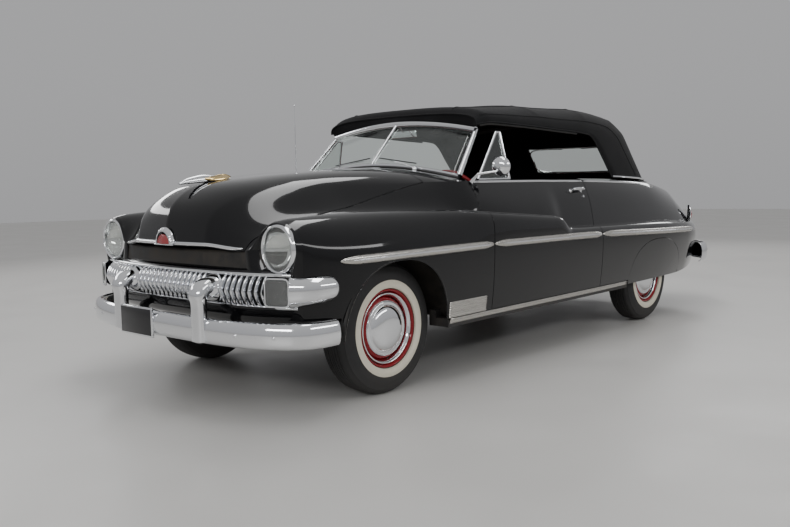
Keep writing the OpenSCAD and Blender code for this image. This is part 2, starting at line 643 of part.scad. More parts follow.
// Each bow is a strip between two rows of the canvas, against its inner side
module top_bows() {
    g = top_grid();
    outer = behind(g, canvas_t + seam);
    inner = behind(g, canvas_t + 18);
    color(steel) for (i = [1, 5, 8, 11]) wall([for (k = [i, i + 1]) [for (j = [2:22]) outer[k][j]]],
        [for (k = [i, i + 1]) [for (j = [2:22]) inner[k][j]]]);
}

// ---- Cabin
// Seat drawn as its side view [y, z], extruded across the car
module bench(w, side) {
    translate([-w, 0, 0]) rotate([90, 0, 90]) linear_extrude(2 * w) polygon(side);
}
module front_seat() {
    w = seat_w / 2;
    y = -430 * ky;
    color(trim_red) {
        bench(w, [[y, seat_z - 230], [y + 620, seat_z - 230], [y + 800, seat_z + 300], [y + 790, seat_z + 330],
            [y + 690, seat_z + 330], [y + 560, seat_z], [y, seat_z]]);
        box([60 - w, y + 40, floor_z + 10 + seam], [w - 60, y + 500, seat_z - 229]);
    }
}
module rear_seat() {
    w = seat_w / 2 - 40;
    y = 670 * ky;
    low = floor_back_z + 10 + seam;
    color(trim_red) bench(w, [[y, low], [y + 600, low], [y + 690, low + 380], [y + 590, low + 390],
        [y + 490, low + 120], [y, low + 120]]);
}
wheel_mid = [368, -560 * ky, 1000];
column_tilt = 58;
module dashboard() {
    color(trim_red) {
        translate([-dash_half, 0, 0]) rotate([90, 0, 90]) linear_extrude(2 * dash_half)
            polygon([[-940 * ky, 1040], [-940 * ky, 1092], [-760 * ky, 1078], [-735 * ky, 1040], [-770 * ky, 830],
                [-800 * ky, 830], [-800 * ky, 1040]]);
        box([-dash_half, -1249.7 * ky, 1040], [dash_half, -939 * ky, 1055]);
    }
    color(chrome) translate(wheel_mid) rotate([-column_tilt, 0, 0]) {
        translate([0, 0, -700]) cylinder(d = 44, h = 660);
        translate([0, 0, -50]) cylinder(d = shaft_d, h = 60);
    }
}
module steering_wheel() {
    color(trim_red) translate(wheel_mid) rotate([-column_tilt, 0, 0]) {
        rotate_extrude() translate([steer_d / 2 - 13, 0]) circle(d = 26);
        difference() {
            union() {
                translate([0, 0, -34]) cylinder(d = 70, h = 56);
                for (a = [0, 180]) rotate([0, 0, a]) rotate([0, 90, 0]) cylinder(d = 20, h = steer_d / 2 - 13);
            }
            translate([0, 0, -51]) cylinder(d = shaft_d + 0.1, h = 62);
        }
    }
}
// Posts ahead of the doors with the leaves that the doors hang on
hinge_zs = [540, 850];
module hinge_pillars() {
    y = door_front_u * ky;
    color(paint) both_sides() {
        box([690 * kx, y - 80, floor_z + 10 + seam], [770 * kx, y - 12, 1055]);
        for (z = hinge_zs) box([760 * kx, y - 70, z], [870 * kx, y + panel_gap / 2 - seam, z + 50]);
    }
}
// Struts that stand under a lid beside its hinge line
module hood_hinges() {
    color(steel) both_sides() {
        p = body_at(hood_back_u - 40, 0.55);
        box([p[0] - 12, p[1] - 10, 1000], [p[0] + 12, -1262 * ky - seam, 1030]);
        translate([p[0], p[1], 1000]) cylinder(d = 12, h = p[2] - skin_t - strap_drop - 1000);
    }
}
module trunk_hinges() {
    color(steel) both_sides() {
        p = body_at(lid_front_u + 45, 0.5);
        q = body_at(lid_front_u - 45, 0.5);
        z = p[2] - 80;
        translate([p[0], p[1], z]) cylinder(d = 12, h = 80 - skin_t - lid_drop);
        translate([q[0], q[1], z]) cylinder(d = 12, h = q[2] - z - skin_t - deck_drop);
        box([p[0] - 12, q[1] - 6, z - 15], [p[0] + 12, p[1] + 6, z + 1]);
    }
}
module antenna() {
    p = body_at(-1010, 0.9);
    color(chrome) mirror([1, 0, 0]) {
        translate(p + [0, 0, 2]) cylinder(d = 26, h = 20);
        translate(p + [0, 0, 20]) cylinder(d = 6, h = 1650 - p[2]);
        translate([p[0], p[1], 1660]) sphere(d = 12);
    }
}
// Vent window: a frame of three bars with its glass, standing on the door
module vent_window() {
    d = 18;
    a = [vent_low_x, -868 * ky, 1126];
    b = [vent_high_x, -590 * ky, 1412];
    c = [vent_high_x, -552 * ky, 1412];
    e = [vent_low_x, -536 * ky, 1126];
    up = (b - a) / norm(b - a) * d / 2;
    color(chrome) {
        bar(a - up, b + up, d);
        bar(c + [0, 0, d / 2], e - [0, 0, d / 2], d);
        bar(a, e, d);
        bar(b, c, d);
    }
    color(clear) wall(shifted([[a, e], [b, c]], [glass_t / 2, 0, 0]), shifted([[a, e], [b, c]], [-glass_t / 2, 0, 0]));
}
module vent_window_left() {
    vent_window();
}
module vent_window_right() {
    mirror([1, 0, 0]) vent_window();
}

// ---- Running gear
module knuckle() {
    color(steel) {
        translate([pin_x, front_axle_y, arm_low_z + 0.5]) cylinder(d = 56, h = arm_high_z - arm_low_z - 1);
        translate([pin_x, front_axle_y, axle_z]) rotate([0, 90, 0])
            cylinder(d = hub_bore_d - 0.1, h = front_track / 2 + hub_half - pin_x);
    }
}
module knuckle_left() {
    knuckle();
}
module knuckle_right() {
    mirror([1, 0, 0]) knuckle();
}
// Rim, disc, hub with its bore and domed cap; the outer side of the wheel is +Z here
module wheel(x, y) {
    r = rim_d / 2;
    half = 76;
    translate([x, y, axle_z]) rotate([0, 90, 0]) rotate_extrude() polygon([
        [hub_bore_d / 2, -40], [hub_bore_d / 2 + 24, -40], [hub_bore_d / 2 + 24, 26], [r - 34, 18], [r - 14, 30],
        [r - 14, -half + 6], [r + 14, -half], [r + 14, -half + 8], [r, -half + 14], [r, half - 14],
        [r + 14, half - 8], [r + 14, half], [r - 12, half - 8], [r - 14, 42], [r - 40, 30], [r - 50, 50],
        [80, 66], [40, 74], [0, 76], [0, hub_half + 1], [hub_bore_d / 2, hub_half + 1]]);
}
module tyre(x, y) {
    r = rim_d / 2 + 0.3;
    out = tyre_d / 2;
    w = tyre_w / 2;
    translate([x, y, axle_z]) rotate([0, 90, 0]) rotate_extrude($fn = 96) polygon([
        [r, -62], [r + 15, -62], [r + 24, -w + 12], [r + 60, -w + 1], [r + 85, -w], [out - 38, -w + 8],
        [out - 12, -w + 24], [out, -w + 44], [out, w - 44], [out - 12, w - 24], [out - 38, w - 8],
        [r + 85, w], [r + 60, w - 1], [r + 24, w - 12], [r + 15, 62], [r, 62]]);
}
module wheel_front_left() {
    color(wheel_red) wheel(front_track / 2, front_axle_y);
}
module wheel_front_right() {
    mirror([1, 0, 0]) wheel_front_left();
}
module wheel_rear_left() {
    color(wheel_red) wheel(rear_track / 2, rear_axle_y);
}
module wheel_rear_right() {
    mirror([1, 0, 0]) wheel_rear_left();
}
module tyre_front_left() {
    color(rubber) tyre(front_track / 2, front_axle_y);
}
module tyre_front_right() {
    mirror([1, 0, 0]) tyre_front_left();
}
module tyre_rear_left() {
    color(rubber) tyre(rear_track / 2, rear_axle_y);
}
module tyre_rear_right() {
    mirror([1, 0, 0]) tyre_rear_left();
}

frame_rails();
rear_frame_rails();
frame_crossmembers();
floor_pan();
firewall();
cowl();
windshield_frame();
windshield_glass();
front_fender_left();
front_fender_right();
rear_quarter_left();
rear_quarter_right();
fender_skirts();
rocker_panels();
rear_deck();
rear_valance();
radiator();
grille();
front_bumper();
rear_bumper();
headlamps();
tail_lamps();
soft_top();
top_bows();
front_seat();
rear_seat();
dashboard();
engine_block();
rear_axle();
front_suspension();
exhaust();
fuel_tank();
antenna();
hinge_pillars();
hood_hinges();
trunk_hinges();
hood();
trunk_lid();
door_left();
door_right();
vent_window_left();
vent_window_right();
knuckle_left();
knuckle_right();
steering_wheel();
wheel_front_left();
wheel_front_right();
wheel_rear_left();
wheel_rear_right();
tyre_front_left();
tyre_front_right();
tyre_rear_left();
tyre_rear_right();
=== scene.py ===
"""Render pieces of an early 1950s two-door convertible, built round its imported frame."""
import json
from functools import lru_cache
from math import atan2, copysign, cos, degrees, pi, radians, sin, sqrt

import bmesh
import bpy
from bpy.props import FloatProperty, FloatVectorProperty, PointerProperty
from mathutils import Matrix, Vector


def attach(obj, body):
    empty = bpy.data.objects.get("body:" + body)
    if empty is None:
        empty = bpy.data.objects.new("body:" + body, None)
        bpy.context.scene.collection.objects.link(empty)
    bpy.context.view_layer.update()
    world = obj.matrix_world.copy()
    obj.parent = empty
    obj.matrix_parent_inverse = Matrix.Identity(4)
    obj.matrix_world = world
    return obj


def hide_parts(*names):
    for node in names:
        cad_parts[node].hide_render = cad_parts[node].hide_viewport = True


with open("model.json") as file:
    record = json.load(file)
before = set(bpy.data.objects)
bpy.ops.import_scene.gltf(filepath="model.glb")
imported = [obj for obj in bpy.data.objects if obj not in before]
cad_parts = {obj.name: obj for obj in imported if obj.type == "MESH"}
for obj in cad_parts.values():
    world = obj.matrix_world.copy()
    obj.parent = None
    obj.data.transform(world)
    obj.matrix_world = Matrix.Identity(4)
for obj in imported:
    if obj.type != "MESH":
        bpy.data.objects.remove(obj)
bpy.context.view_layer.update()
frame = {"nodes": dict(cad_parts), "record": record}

bl_info = {
    "name": "Convertible car pieces",
    "version": (1, 0, 0),
    "blender": (4, 5, 0),
    "location": "View3D > Sidebar > Convertible",
    "description": "Builds the panels, bright work, top, wheels and cabin of a 1950s convertible",
    "category": "Object",
}

MM = 0.001
SIDES = (("left", 1), ("right", -1))


# ---- Sizes and colours that a user would change
def colour(name, text, value):
    return FloatVectorProperty(name=name, description=text, subtype="COLOR", size=3, min=0, max=1,
                               default=value)


def length(name, text, value, low=0.0, high=1.0):
    return FloatProperty(name=name, description=text, default=value, min=low, max=high, unit="LENGTH")


class ConvertibleSettings(bpy.types.PropertyGroup):
    """Sizes and colours of the car's pieces."""
    paint: colour("Paint", "Body colour", (0.004, 0.004, 0.005))
    canvas: colour("Canvas", "Soft top colour", (0.012, 0.012, 0.013))
    wheel_red: colour("Wheels", "Enamel of the wheels", (0.27, 0.006, 0.012))
    whitewall: colour("Whitewall", "Band on the tyres", (0.78, 0.73, 0.6))
    leather: colour("Leather", "Seats and door trim", (0.13, 0.008, 0.012))
    floor: colour("Floor", "Studio floor", (0.62, 0.61, 0.59))
    shut_line: length("Shut line", "Half of the gap between two panels", 0.0022, 0.001, 0.006)
    skin: length("Skin", "Thickness of an outer panel's edge", 0.006, 0.002, 0.012)
    whitewall_outer: length("Whitewall radius", "Outer radius of the pale band", 0.272, 0.22, 0.31)
    whitewall_inner: length("Whitewall inner radius", "Inner radius of the pale band", 0.212, 0.2, 0.26)
    cap_radius: length("Hub cap radius", "Radius of the domed cap", 0.148, 0.1, 0.16)


def settings():
    return bpy.context.scene.convertible


# ---- Body lines, the same as the part's: stations along the car in millimetres
FRONT, HOOD_BACK, COWL_BACK, DOOR_FRONT, DOOR_BACK, LID_FRONT, REAR = -2368, -1250, -945, -980, 310, 1810, 2495
CENTRE = [(FRONT, -2540, 812), (-2335, -2528, 930), (-2270, -2470, 1035), (-2170, -2330, 1118),
          (-1990, -2070, 1155), (-1750, -1750, 1174), (HOOD_BACK, -1250, 1192), (COWL_BACK, -945, 1212),
          (LID_FRONT, 1810, 1062), (2050, 2090, 985), (2250, 2330, 885), (2400, 2450, 830), (REAR, 2495, 785)]
SHOULDER = [(FRONT, 300, -2512, 812), (-2335, 300, -2495, 915), (-2270, 315, -2430, 1000),
            (-2170, 345, -2290, 1062), (-1990, 400, -2045, 1092), (-1750, 470, -1750, 1106),
            (HOOD_BACK, 660, -1250, 1110), (DOOR_FRONT, 780, -980, 1113), (DOOR_BACK, 797, 310, 1106),
            (1300, 778, 1300, 1068), (LID_FRONT, 728, 1810, 1005), (2050, 690, 2060, 935),
            (2250, 640, 2260, 850), (2400, 592, 2395, 790), (REAR, 560, 2440, 770)]
VALLEY = [(FRONT, 540, -2440, 800), (-2335, 548, -2400, 838), (-2270, 560, -2330, 868),
          (-2170, 580, -2220, 898),
          (-1990, 618, -2010, 925), (-1750, 680, -1750, 942), (HOOD_BACK, 806, -1250, 950),
          (DOOR_FRONT, 872, -980, 926), (-330, 890, -330, 884), (-200, 890, -200, 868), (-90, 890, -90, 806),
          (DOOR_BACK, 892, 310, 792), (1300, 882, 1300, 775), (LID_FRONT, 856, 1810, 758), (2050, 815, 2055,
                                                                                            745),
          (2250, 745, 2265, 735), (2400, 650, 2408, 725), (REAR, 568, 2462, 712)]
CROWN = [(FRONT, 730, -2385, 942), (-2335, 735, -2345, 950), (-2270, 742, -2275, 956), (-2170, 755, -2172, 961),
         (-1990, 780, -1990, 965), (-1750, 815, -1750, 966), (HOOD_BACK, 872, -1250, 958),
         (DOOR_FRONT, 908, -980, 936), (-330, 928, -330, 886), (-200, 932, -200, 866), (-90, 928, -90, 800),
         (DOOR_BACK, 928, 310, 784), (1300, 920, 1300, 766), (LID_FRONT, 886, 1810, 746), (2050, 838, 2052,
                                                                                           735),
         (2250, 765, 2262, 724), (2400, 666, 2412, 714), (REAR, 574, 2472, 690)]
WIDE = [(FRONT, 862, 806), (-2335, 880, 790), (-2270, 905, 772), (-2170, 930, 758), (-1990, 953, 748),
        (-1750, 963, 744), (HOOD_BACK, 966, 740), (DOOR_FRONT, 966, 736), (DOOR_BACK, 966, 690), (1300, 960,
                                                                                                  668),
        (LID_FRONT, 930, 650), (2050, 885, 636), (2250, 815, 622), (2400, 718, 612), (REAR, 588, 600)]
SLOPES = [(FRONT, 0, 0, -12, -38), (-2335, 12, 12, 8, -24), (-2270, 22, 22, 16, -14), (-2170, 28, 28, 20, -10),
          (-1990, 36, 36, 18, -10), (-1750, 42, 42, 16, -8), (HOOD_BACK, 32, 40, 42, -8),
          (DOOR_FRONT, 12, 58, 80, -4), (-330, 12, 58, 82, 0), (-90, 12, 58, 82, 5), (DOOR_BACK, 12, 58, 82, 5),
          (LID_FRONT, 30, 48, 80, 5), (REAR, 20, 84, 86, 40)]
TUCK = [(FRONT, 20), (-1750, 30), (DOOR_FRONT, 34), (DOOR_BACK, 34), (LID_FRONT, 60), (2250, 70), (REAR, 20)]
HOOD_SEAM = [(FRONT, 1.94), (-2170, 1.93), (-1990, 1.8), (-1750, 1.6), (HOOD_BACK, 1)]
DECK_SEAM = [(DOOR_BACK, 0.94), (1300, 0.94), (1560, 0.9), (1700, 0.84), (LID_FRONT, 0.76), (2250, 0.86),
             (REAR, 0.975)]
SILL, DOOR_LOW, NOSE_LOW, TAIL_LOW = 312, 366, 470, 372
AXLE_Z, FRONT_AXLE = 350, -1750
ARCH_Y, ARCH_HALF, ARCH_TOP = -1776, 384, 722
SKIRT_Y, SKIRT_HALF, SKIRT_TOP, SKIRT_LOW = 1212, 465, 648, 336
REAR_BULGE = 55
SEAM_GAP, DECK_GAP = 0.009, 0.006  # shut lines that run along the car, as shares of the section

# Bars that wrap an end of the car: half width, where they start, how far they reach, and how square they are
FRONT_BAR, REAR_BAR = (948, 2212, 396, 3), (930, 2085, 520, 2.6)
GRILLE_CURVE = (2185, 355, 2.9)
GRILLE_LINE = (955, *GRILLE_CURVE)

# Steering wheel and its column, in metres
WHEEL_CENTRE = Vector((0.368, -0.560, 1.0))
COLUMN_AXIS = Vector((0, 0.848, 0.530)).normalized()


def step_of(table, u):
    i = 0
    while i < len(table) - 2 and u > table[i + 1][0]:
        i += 1
    return i


def along(table, u, k=1):
    """Smooth curve through column k of a table's rows, at station u."""
    i = step_of(table, u)
    a, b = table[i], table[i + 1]
    wide = b[0] - a[0]
    t = min(1, max(0, (u - a[0]) / wide))
    rise = (b[k] - a[k]) / wide

    def slope(j):
        p, q = table[max(0, j - 1)], table[min(len(table) - 1, j + 1)]
        m = (q[k] - p[k]) / (q[0] - p[0])
        return copysign(min(abs(m), 3 * abs(rise)), m) if m * rise > 0 else 0
    c0, c1 = slope(i), slope(i + 1)
    return (a[k] * (1 + 2 * t) * (1 - t) ** 2 + b[k] * t * t * (3 - 2 * t)
            + wide * (c0 * t * (1 - t) ** 2 - c1 * t * t * (1 - t)))


def span(a, b, slope_a, slope_b, t):
    """Point at t between a and b, leaving and arriving at the given downward slopes."""
    d = b - a
    reach = sqrt(d.x * d.x + d.z * d.z)
    ta = Vector((cos(radians(slope_a)) * reach, d.y, -sin(radians(slope_a)) * reach))
    tb = Vector((cos(radians(slope_b)) * reach, d.y, -sin(radians(slope_b)) * reach))
    return (a * (1 + 2 * t) * (1 - t) ** 2 + b * t * t * (3 - 2 * t)
            + ta * t * (1 - t) ** 2 - tb * t * t * (1 - t))


def oval(v, half, high):
    return 0 if abs(v) >= half else high * (1 - (abs(v) / half) ** 2.3) ** (1 / 2.3)


def low_z(y):
    """Lower edge of the outer panels at y."""
    arch = oval(y - ARCH_Y, ARCH_HALF, ARCH_TOP - SILL)
    skirt = oval(y - SKIRT_Y, SKIRT_HALF, SKIRT_TOP - SKIRT_LOW)
    if arch > 0:
        return SILL + arch
    if y < ARCH_Y:
        return NOSE_LOW
    if skirt > 0:
        return SKIRT_LOW + skirt
    if y > SKIRT_Y:
        return SKIRT_LOW + (TAIL_LOW + 40 - SKIRT_LOW) * min(1, (y - SKIRT_Y - SKIRT_HALF) / 800) ** 1.3
    return DOOR_LOW


@lru_cache(None)
def station(u):
    return (Vector((0, along(CENTRE, u), along(CENTRE, u, 2))),
            Vector([along(SHOULDER, u, k) for k in (1, 2, 3)]),
            Vector([along(VALLEY, u, k) for k in (1, 2, 3)]),
            Vector([along(CROWN, u, k) for k in (1, 2, 3)]),
            Vector((along(WIDE, u), u, along(WIDE, u, 2))),
            [along(SLOPES, u, k) for k in (1, 2, 3, 4)], along(TUCK, u))


def section(u, s, low):
    """Point of the left side: s is 0 centre, 1 shoulder, 2 valley, 3 crown, 4 widest, 5 at height low."""
    centre, shoulder, valley, crown, wide, slope, tuck = station(u)
    if s <= 1:
        return span(centre, shoulder, 0, slope[0], s)
    if s <= 2:
        return span(shoulder, valley, slope[1], slope[2], s - 1)
    if s <= 3:
        return span(valley, crown, slope[3], 8, s - 2)
    if s <= 4:
        return span(crown, wide, 8, 90, s - 3)
    z = wide.z + (low - wide.z) * (s - 4)
    drop = (wide.z - z) / (wide.z - SILL)
    return Vector((wide.x - tuck * drop * drop, u, z))


SOFTEN = ((-26, 1), (-13, 4), (0, 6), (13, 4), (26, 1))


@lru_cache(None)
def body(u, s, low=None):
    """Point of the body in metres, softened along the car so that reflections run on."""
    if low is None:
        low = low_z(u)
    out, total = Vector((0, 0, 0)), 0
    near = 13 * min(1, (u - FRONT) / 26, (REAR - u) / 26) if FRONT < u < REAR else 0
    for d, w in SOFTEN:
        out += section(round(u + d * near / 13, 3), abs(s), low) * w
        total += w
    out = out * (MM / total)
    return Vector((copysign(out.x, s) if s else 0, out.y, out.z))


def outward(u, s, low=None):
    """Unit normal of the body at a point, away from the car."""
    du = body(u + 4, s, low) - body(u - 4, s, low)
    e = 0.01
    ds = body(u, s + e, low) - body(u, s - e, low)
    n = du.cross(ds)
    p = body(u, s, low)
    away = Vector((p.x, 0, p.z - 0.7))
    return (n if n.dot(away) > 0 else -n).normalized()


def steps(a, b, n):
    return [a + (b - a) * i / n for i in range(n + 1)]


def joined(*parts):
    out = []
    for part in parts:
        out += [v for v in part if not out or abs(v - out[-1]) > 1e-6]
    return out


def smooth(t):
    t = min(1, max(0, t))
    return t * t * (3 - 2 * t)


def search(lo, hi, short, halvings=26):
    """Place between lo and hi up to which short(place) holds, by halving."""
    for _ in range(halvings):
        mid = (lo + hi) / 2
        lo, hi = (mid, hi) if short(mid) else (lo, mid)
    return lo


def circle(n):
    """Angles of n points round a circle."""
    return [2 * pi * k / n for k in range(n)]


def squared(v, power):
    """A sine or cosine drawn out towards the corners of a square."""
    return copysign(abs(v) ** power, v)


# ---- Making meshes
def keep(bm, name, body_name, finish, angle=40, replaces=(), bevel=0.0, thick=0.0):
    """Turns a bmesh into a piece that rides on a body, with its finish, wall and rounded edges."""
    mesh = bpy.data.meshes.new(name)
    bm.to_mesh(mesh)
    bm.free()
    mesh.shade_smooth()
    piece = bpy.data.objects.new(name, mesh)
    bpy.context.scene.collection.objects.link(piece)
    if not thick and not bevel:
        mesh.set_sharp_from_angle(angle=radians(angle))
    if thick:
        wall = piece.modifiers.new("Wall", "SOLIDIFY")
        wall.thickness = thick
        wall.offset = -1
    if bevel:
        edge = piece.modifiers.new("Edge", "BEVEL")
        edge.width = bevel
        edge.segments = 3
        edge.limit_method = "ANGLE"
        edge.angle_limit = radians(angle)
        piece.modifiers.new("Shading", "WEIGHTED_NORMAL").keep_sharp = True
    mesh.materials.append(material(finish))
    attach(piece, body_name)
    if replaces:
        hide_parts(*replaces)
    return piece


def face_away(bm, inside):
    """Turns the faces of an open sheet away from a point, or from a line of points."""
    bm.normal_update()
    total = 0
    for f in bm.faces:
        c = f.calc_center_median()
        at = inside(c) if callable(inside) else Vector(inside)
        total += f.normal.dot((c - at).normalized()) * f.calc_area()
    if total < 0:
        bmesh.ops.reverse_faces(bm, faces=bm.faces)


def core(c):
    return Vector((0, max(-2.0, min(1.9, c.y * 0.9)), 0.72))


def mapped(rows, cols, place, inside=core, weld=0.0):
    """Grid of rows by cols points with each point moved to place(i, j)."""
    bm = bmesh.new()
    bmesh.ops.create_grid(bm, x_segments=cols - 1, y_segments=rows - 1, size=1)
    for v in bm.verts:
        i = round((v.co.y + 1) / 2 * (rows - 1))
        j = round((v.co.x + 1) / 2 * (cols - 1))
        v.co = place(i, j)
    if weld:
        bmesh.ops.remove_doubles(bm, verts=bm.verts, dist=weld)
    if inside is None:
        bmesh.ops.recalc_face_normals(bm, faces=bm.faces)
    else:
        face_away(bm, inside)
    return bm


def closed_loft(rings):
    """Closed skin through rings of points, with its two ends filled."""
    n = len(rings[0])
    bm = mapped(len(rings), n + 1, lambda i, j: rings[i][j % n], inside=None, weld=1e-6)
    ends = [e for e in bm.edges if e.is_boundary]
    bmesh.ops.holes_fill(bm, edges=ends, sides=0)
    bmesh.ops.recalc_face_normals(bm, faces=bm.faces)
    return bm


def mirrored(bm):
    """Copy of a bmesh on the other side of the car."""
    other = bm.copy()
    bmesh.ops.scale(other, verts=other.verts, vec=(-1, 1, 1))
    bmesh.ops.reverse_faces(other, faces=other.faces)
    return other


def placed(bm, at, axis=(0, 0, 1)):
    """Turns a shape drawn along Z onto an axis, and moves it."""
    turn = Vector((0, 0, 1)).rotation_difference(Vector(axis)).to_matrix().to_4x4()
    bmesh.ops.transform(bm, matrix=Matrix.Translation(Vector(at)) @ turn, verts=bm.verts)
    return bm


def turned(profile, sides=72):
    """Shape spun about Z from a profile of (radius, height) points."""
    bm = bmesh.new()
    ring = [bm.verts.new((r, 0, h)) for r, h in profile]
    edges = [bm.edges.new(pair) for pair in zip(ring, ring[1:])]
    bmesh.ops.spin(bm, geom=ring + edges, cent=(0, 0, 0), axis=(0, 0, 1), angle=2 * pi, steps=sides,
                   use_merge=True)
    bmesh.ops.remove_doubles(bm, verts=bm.verts, dist=1e-6)
    bmesh.ops.recalc_face_normals(bm, faces=bm.faces)
    return bm


def block(low, high, bevel=0.003, segments=3):
    """Box with rounded edges between two corners."""
    bm = bmesh.new()
    bmesh.ops.create_cube(bm, size=1)
    low, high = Vector(low), Vector(high)
    bmesh.ops.scale(bm, verts=bm.verts, vec=high - low)
    bmesh.ops.translate(bm, verts=bm.verts, vec=(low + high) / 2)
    if bevel:
        bmesh.ops.bevel(bm, geom=bm.edges, offset=bevel, offset_type="OFFSET", segments=segments, profile=0.5,
                        affect="EDGES", material=-1)
    return bm


def tube(points, radius, sides=12, taper=None):
    """Round bar through points, closed at its ends; taper gives its radius at each point."""
    points = [Vector(p) for p in points]
    rings, side = [], None
    for i, p in enumerate(points):
        way = (points[min(i + 1, len(points) - 1)] - points[max(i - 1, 0)]).normalized()
        side = (side - way * side.dot(way)).normalized() if side else way.orthogonal().normalized()
        up = way.cross(side)
        r = taper[i] if taper else radius
        rings.append([p + (side * cos(a) + up * sin(a)) * r for a in circle(sides)])
    return closed_loft(rings)


def several(*shapes):
    """One bmesh that holds several shapes."""
    bm = bmesh.new()
    for shape in shapes:
        mesh = bpy.data.meshes.new("part")
        shape.to_mesh(mesh)
        shape.free()
        bm.from_mesh(mesh)
        bpy.data.meshes.remove(mesh)
    return bm


def trim(path, away, half, proud, cols=9, sunk=0.0015):
    """Moulding on a surface: half its width, proud of it, along points with their normals."""
    n = len(path)

    def place(i, j):
        way = (path[min(i + 1, n - 1)] - path[max(i - 1, 0)]).normalized()
        a = away[i]
        across = a.cross(way).normalized()
        t = -1 + 2 * j / (cols - 1)
        end = min(1, 3.2 * sqrt(max(0, min(i, n - 1 - i)) / n) + 0.12)
        w = half(i / (n - 1)) if callable(half) else half
        return path[i] + across * (w * t * end) + a * (-sunk + (proud + sunk) * (1 - t ** 4) * end)
    return mapped(n, cols, place)


# ---- Finishes
class Value:
    """A number's socket with arithmetic, so that shader maths reads as an expression."""

    def __init__(self, nodes, socket):
        self.nodes, self.socket = nodes, socket

    def maths(self, operation, other):
        return self.nodes.add("ShaderNodeMath", {"operation": operation}, {0: self, 1: other})

    def __add__(self, other):
        return self.maths("ADD", other)

    def __mul__(self, other):
        return self.maths("MULTIPLY", other)

    __radd__, __rmul__ = __add__, __mul__


class Nodes:
    """A material's node tree."""

    def __init__(self, name):
        self.material = bpy.data.materials.new(name)
        self.material.use_nodes = True
        self.tree = self.material.node_tree
        self.tree.nodes.clear()
        self.output = self.tree.nodes.new("ShaderNodeOutputMaterial")
        self.at = self.add("ShaderNodeTexCoord", out="Object")

    def add(self, kind, set_first=None, inputs=None, out=0):
        """Adds a node: its settings first, then its inputs, and gives the output asked for."""
        node = self.tree.nodes.new(kind)
        for key, value in (set_first or {}).items():
            setattr(node, key, value)
        for key, value in (inputs or {}).items():
            if isinstance(value, Value):
                self.tree.links.new(value.socket, node.inputs[key])
            else:
                node.inputs[key].default_value = (*value, 1) if (
                    hasattr(value,
                            "__len__") and len(value) == 3 and node.inputs[key].type == "RGBA") else value
        return Value(self, node.outputs[out])

    def noise(self, scale, detail=3.0, rough=0.5):
        return self.add("ShaderNodeTexNoise", None,
                        {"Vector": self.at, "Scale": scale, "Detail": detail, "Roughness": rough})

    def stretched(self, scale):
        return self.add("ShaderNodeMapping", None, {"Vector": self.at, "Scale": scale})

    def between(self, value, low, high, to_low=0.0, to_high=1.0):
        return self.add("ShaderNodeMapRange", None,
                        {"Value": value, "From Min": low, "From Max": high, "To Min": to_low,
                         "To Max": to_high})

    def axis(self, name):
        return self.add("ShaderNodeSeparateXYZ", None, {"Vector": self.at}, out=name)

    def wave(self, scale, direction):
        return self.add("ShaderNodeTexWave", {"bands_direction": direction, "wave_profile": "SIN"},
                        {"Vector": self.at, "Scale": scale})

    def mix(self, factor, a, b):
        node = self.tree.nodes.new("ShaderNodeMix")
        node.data_type = "RGBA"
        for key, value in ((0, factor), (6, a), (7, b)):
            if isinstance(value, Value):
                self.tree.links.new(value.socket, node.inputs[key])
            else:
                node.inputs[key].default_value = (*value, 1) if key > 5 else value
        return Value(self, node.outputs[2])

    def bump(self, height, strength, distance=0.001):
        return self.add("ShaderNodeBump", None, {"Height": height, "Strength": strength, "Distance": distance})

    def skin(self, **inputs):
        return self.add("ShaderNodeBsdfPrincipled", None, {k.replace("_", " "): v for k, v in inputs.items()})

    def done(self, shader):
        self.tree.links.new(shader.socket, self.output.inputs["Surface"])
        return self.material


def enamel(name, shade, rough=0.09):
    n = Nodes(name)
    cloud = n.noise(2.2, 4)
    peel = n.noise(900, 1)
    road = n.between(n.axis("Z"), 0.62, 0.3) * n.between(n.noise(9, 6, 0.65), 0.42, 0.7)
    base = n.mix(road * 0.03, n.mix(cloud, [c * 0.8 for c in shade], [c * 1.2 + 0.0006 for c in shade]),
                 (0.16, 0.14, 0.12))
    return n.done(n.skin(Base_Color=base, Roughness=n.between(cloud, 0.3, 0.7, rough,
                                                              rough + 0.05) + road * 0.2,
                         Coat_Weight=1.0, Coat_Roughness=0.03, Coat_IOR=1.36, Specular_IOR_Level=0.1,
                         Normal=n.bump(peel, 0.02, 0.0004)))


def plated(name, shade=(0.83, 0.84, 0.86), rough=0.05):
    n = Nodes(name)
    haze = n.noise(14, 5, 0.6)
    pits = n.between(n.noise(420, 2), 0.68, 0.8)
    return n.done(n.skin(Base_Color=n.mix(pits * 0.3, shade, [c * 0.45 for c in shade]), Metallic=1.0,
                         Roughness=n.between(haze, 0.35, 0.75, rough, rough + 0.07),
                         Normal=n.bump(haze, 0.015, 0.002)))


def brushed(name, shade=(0.62, 0.6, 0.56)):
    n = Nodes(name)
    grain = n.add("ShaderNodeTexNoise", None, {"Vector": n.stretched((700, 6, 700)), "Scale": 1.0,
                                               "Detail": 3.0})
    return n.done(n.skin(Base_Color=n.mix(grain, [c * 0.86 for c in shade], shade), Metallic=1.0,
                         Roughness=n.between(grain, 0.3, 0.7, 0.2, 0.36), Normal=n.bump(grain, 0.06, 0.0004)))


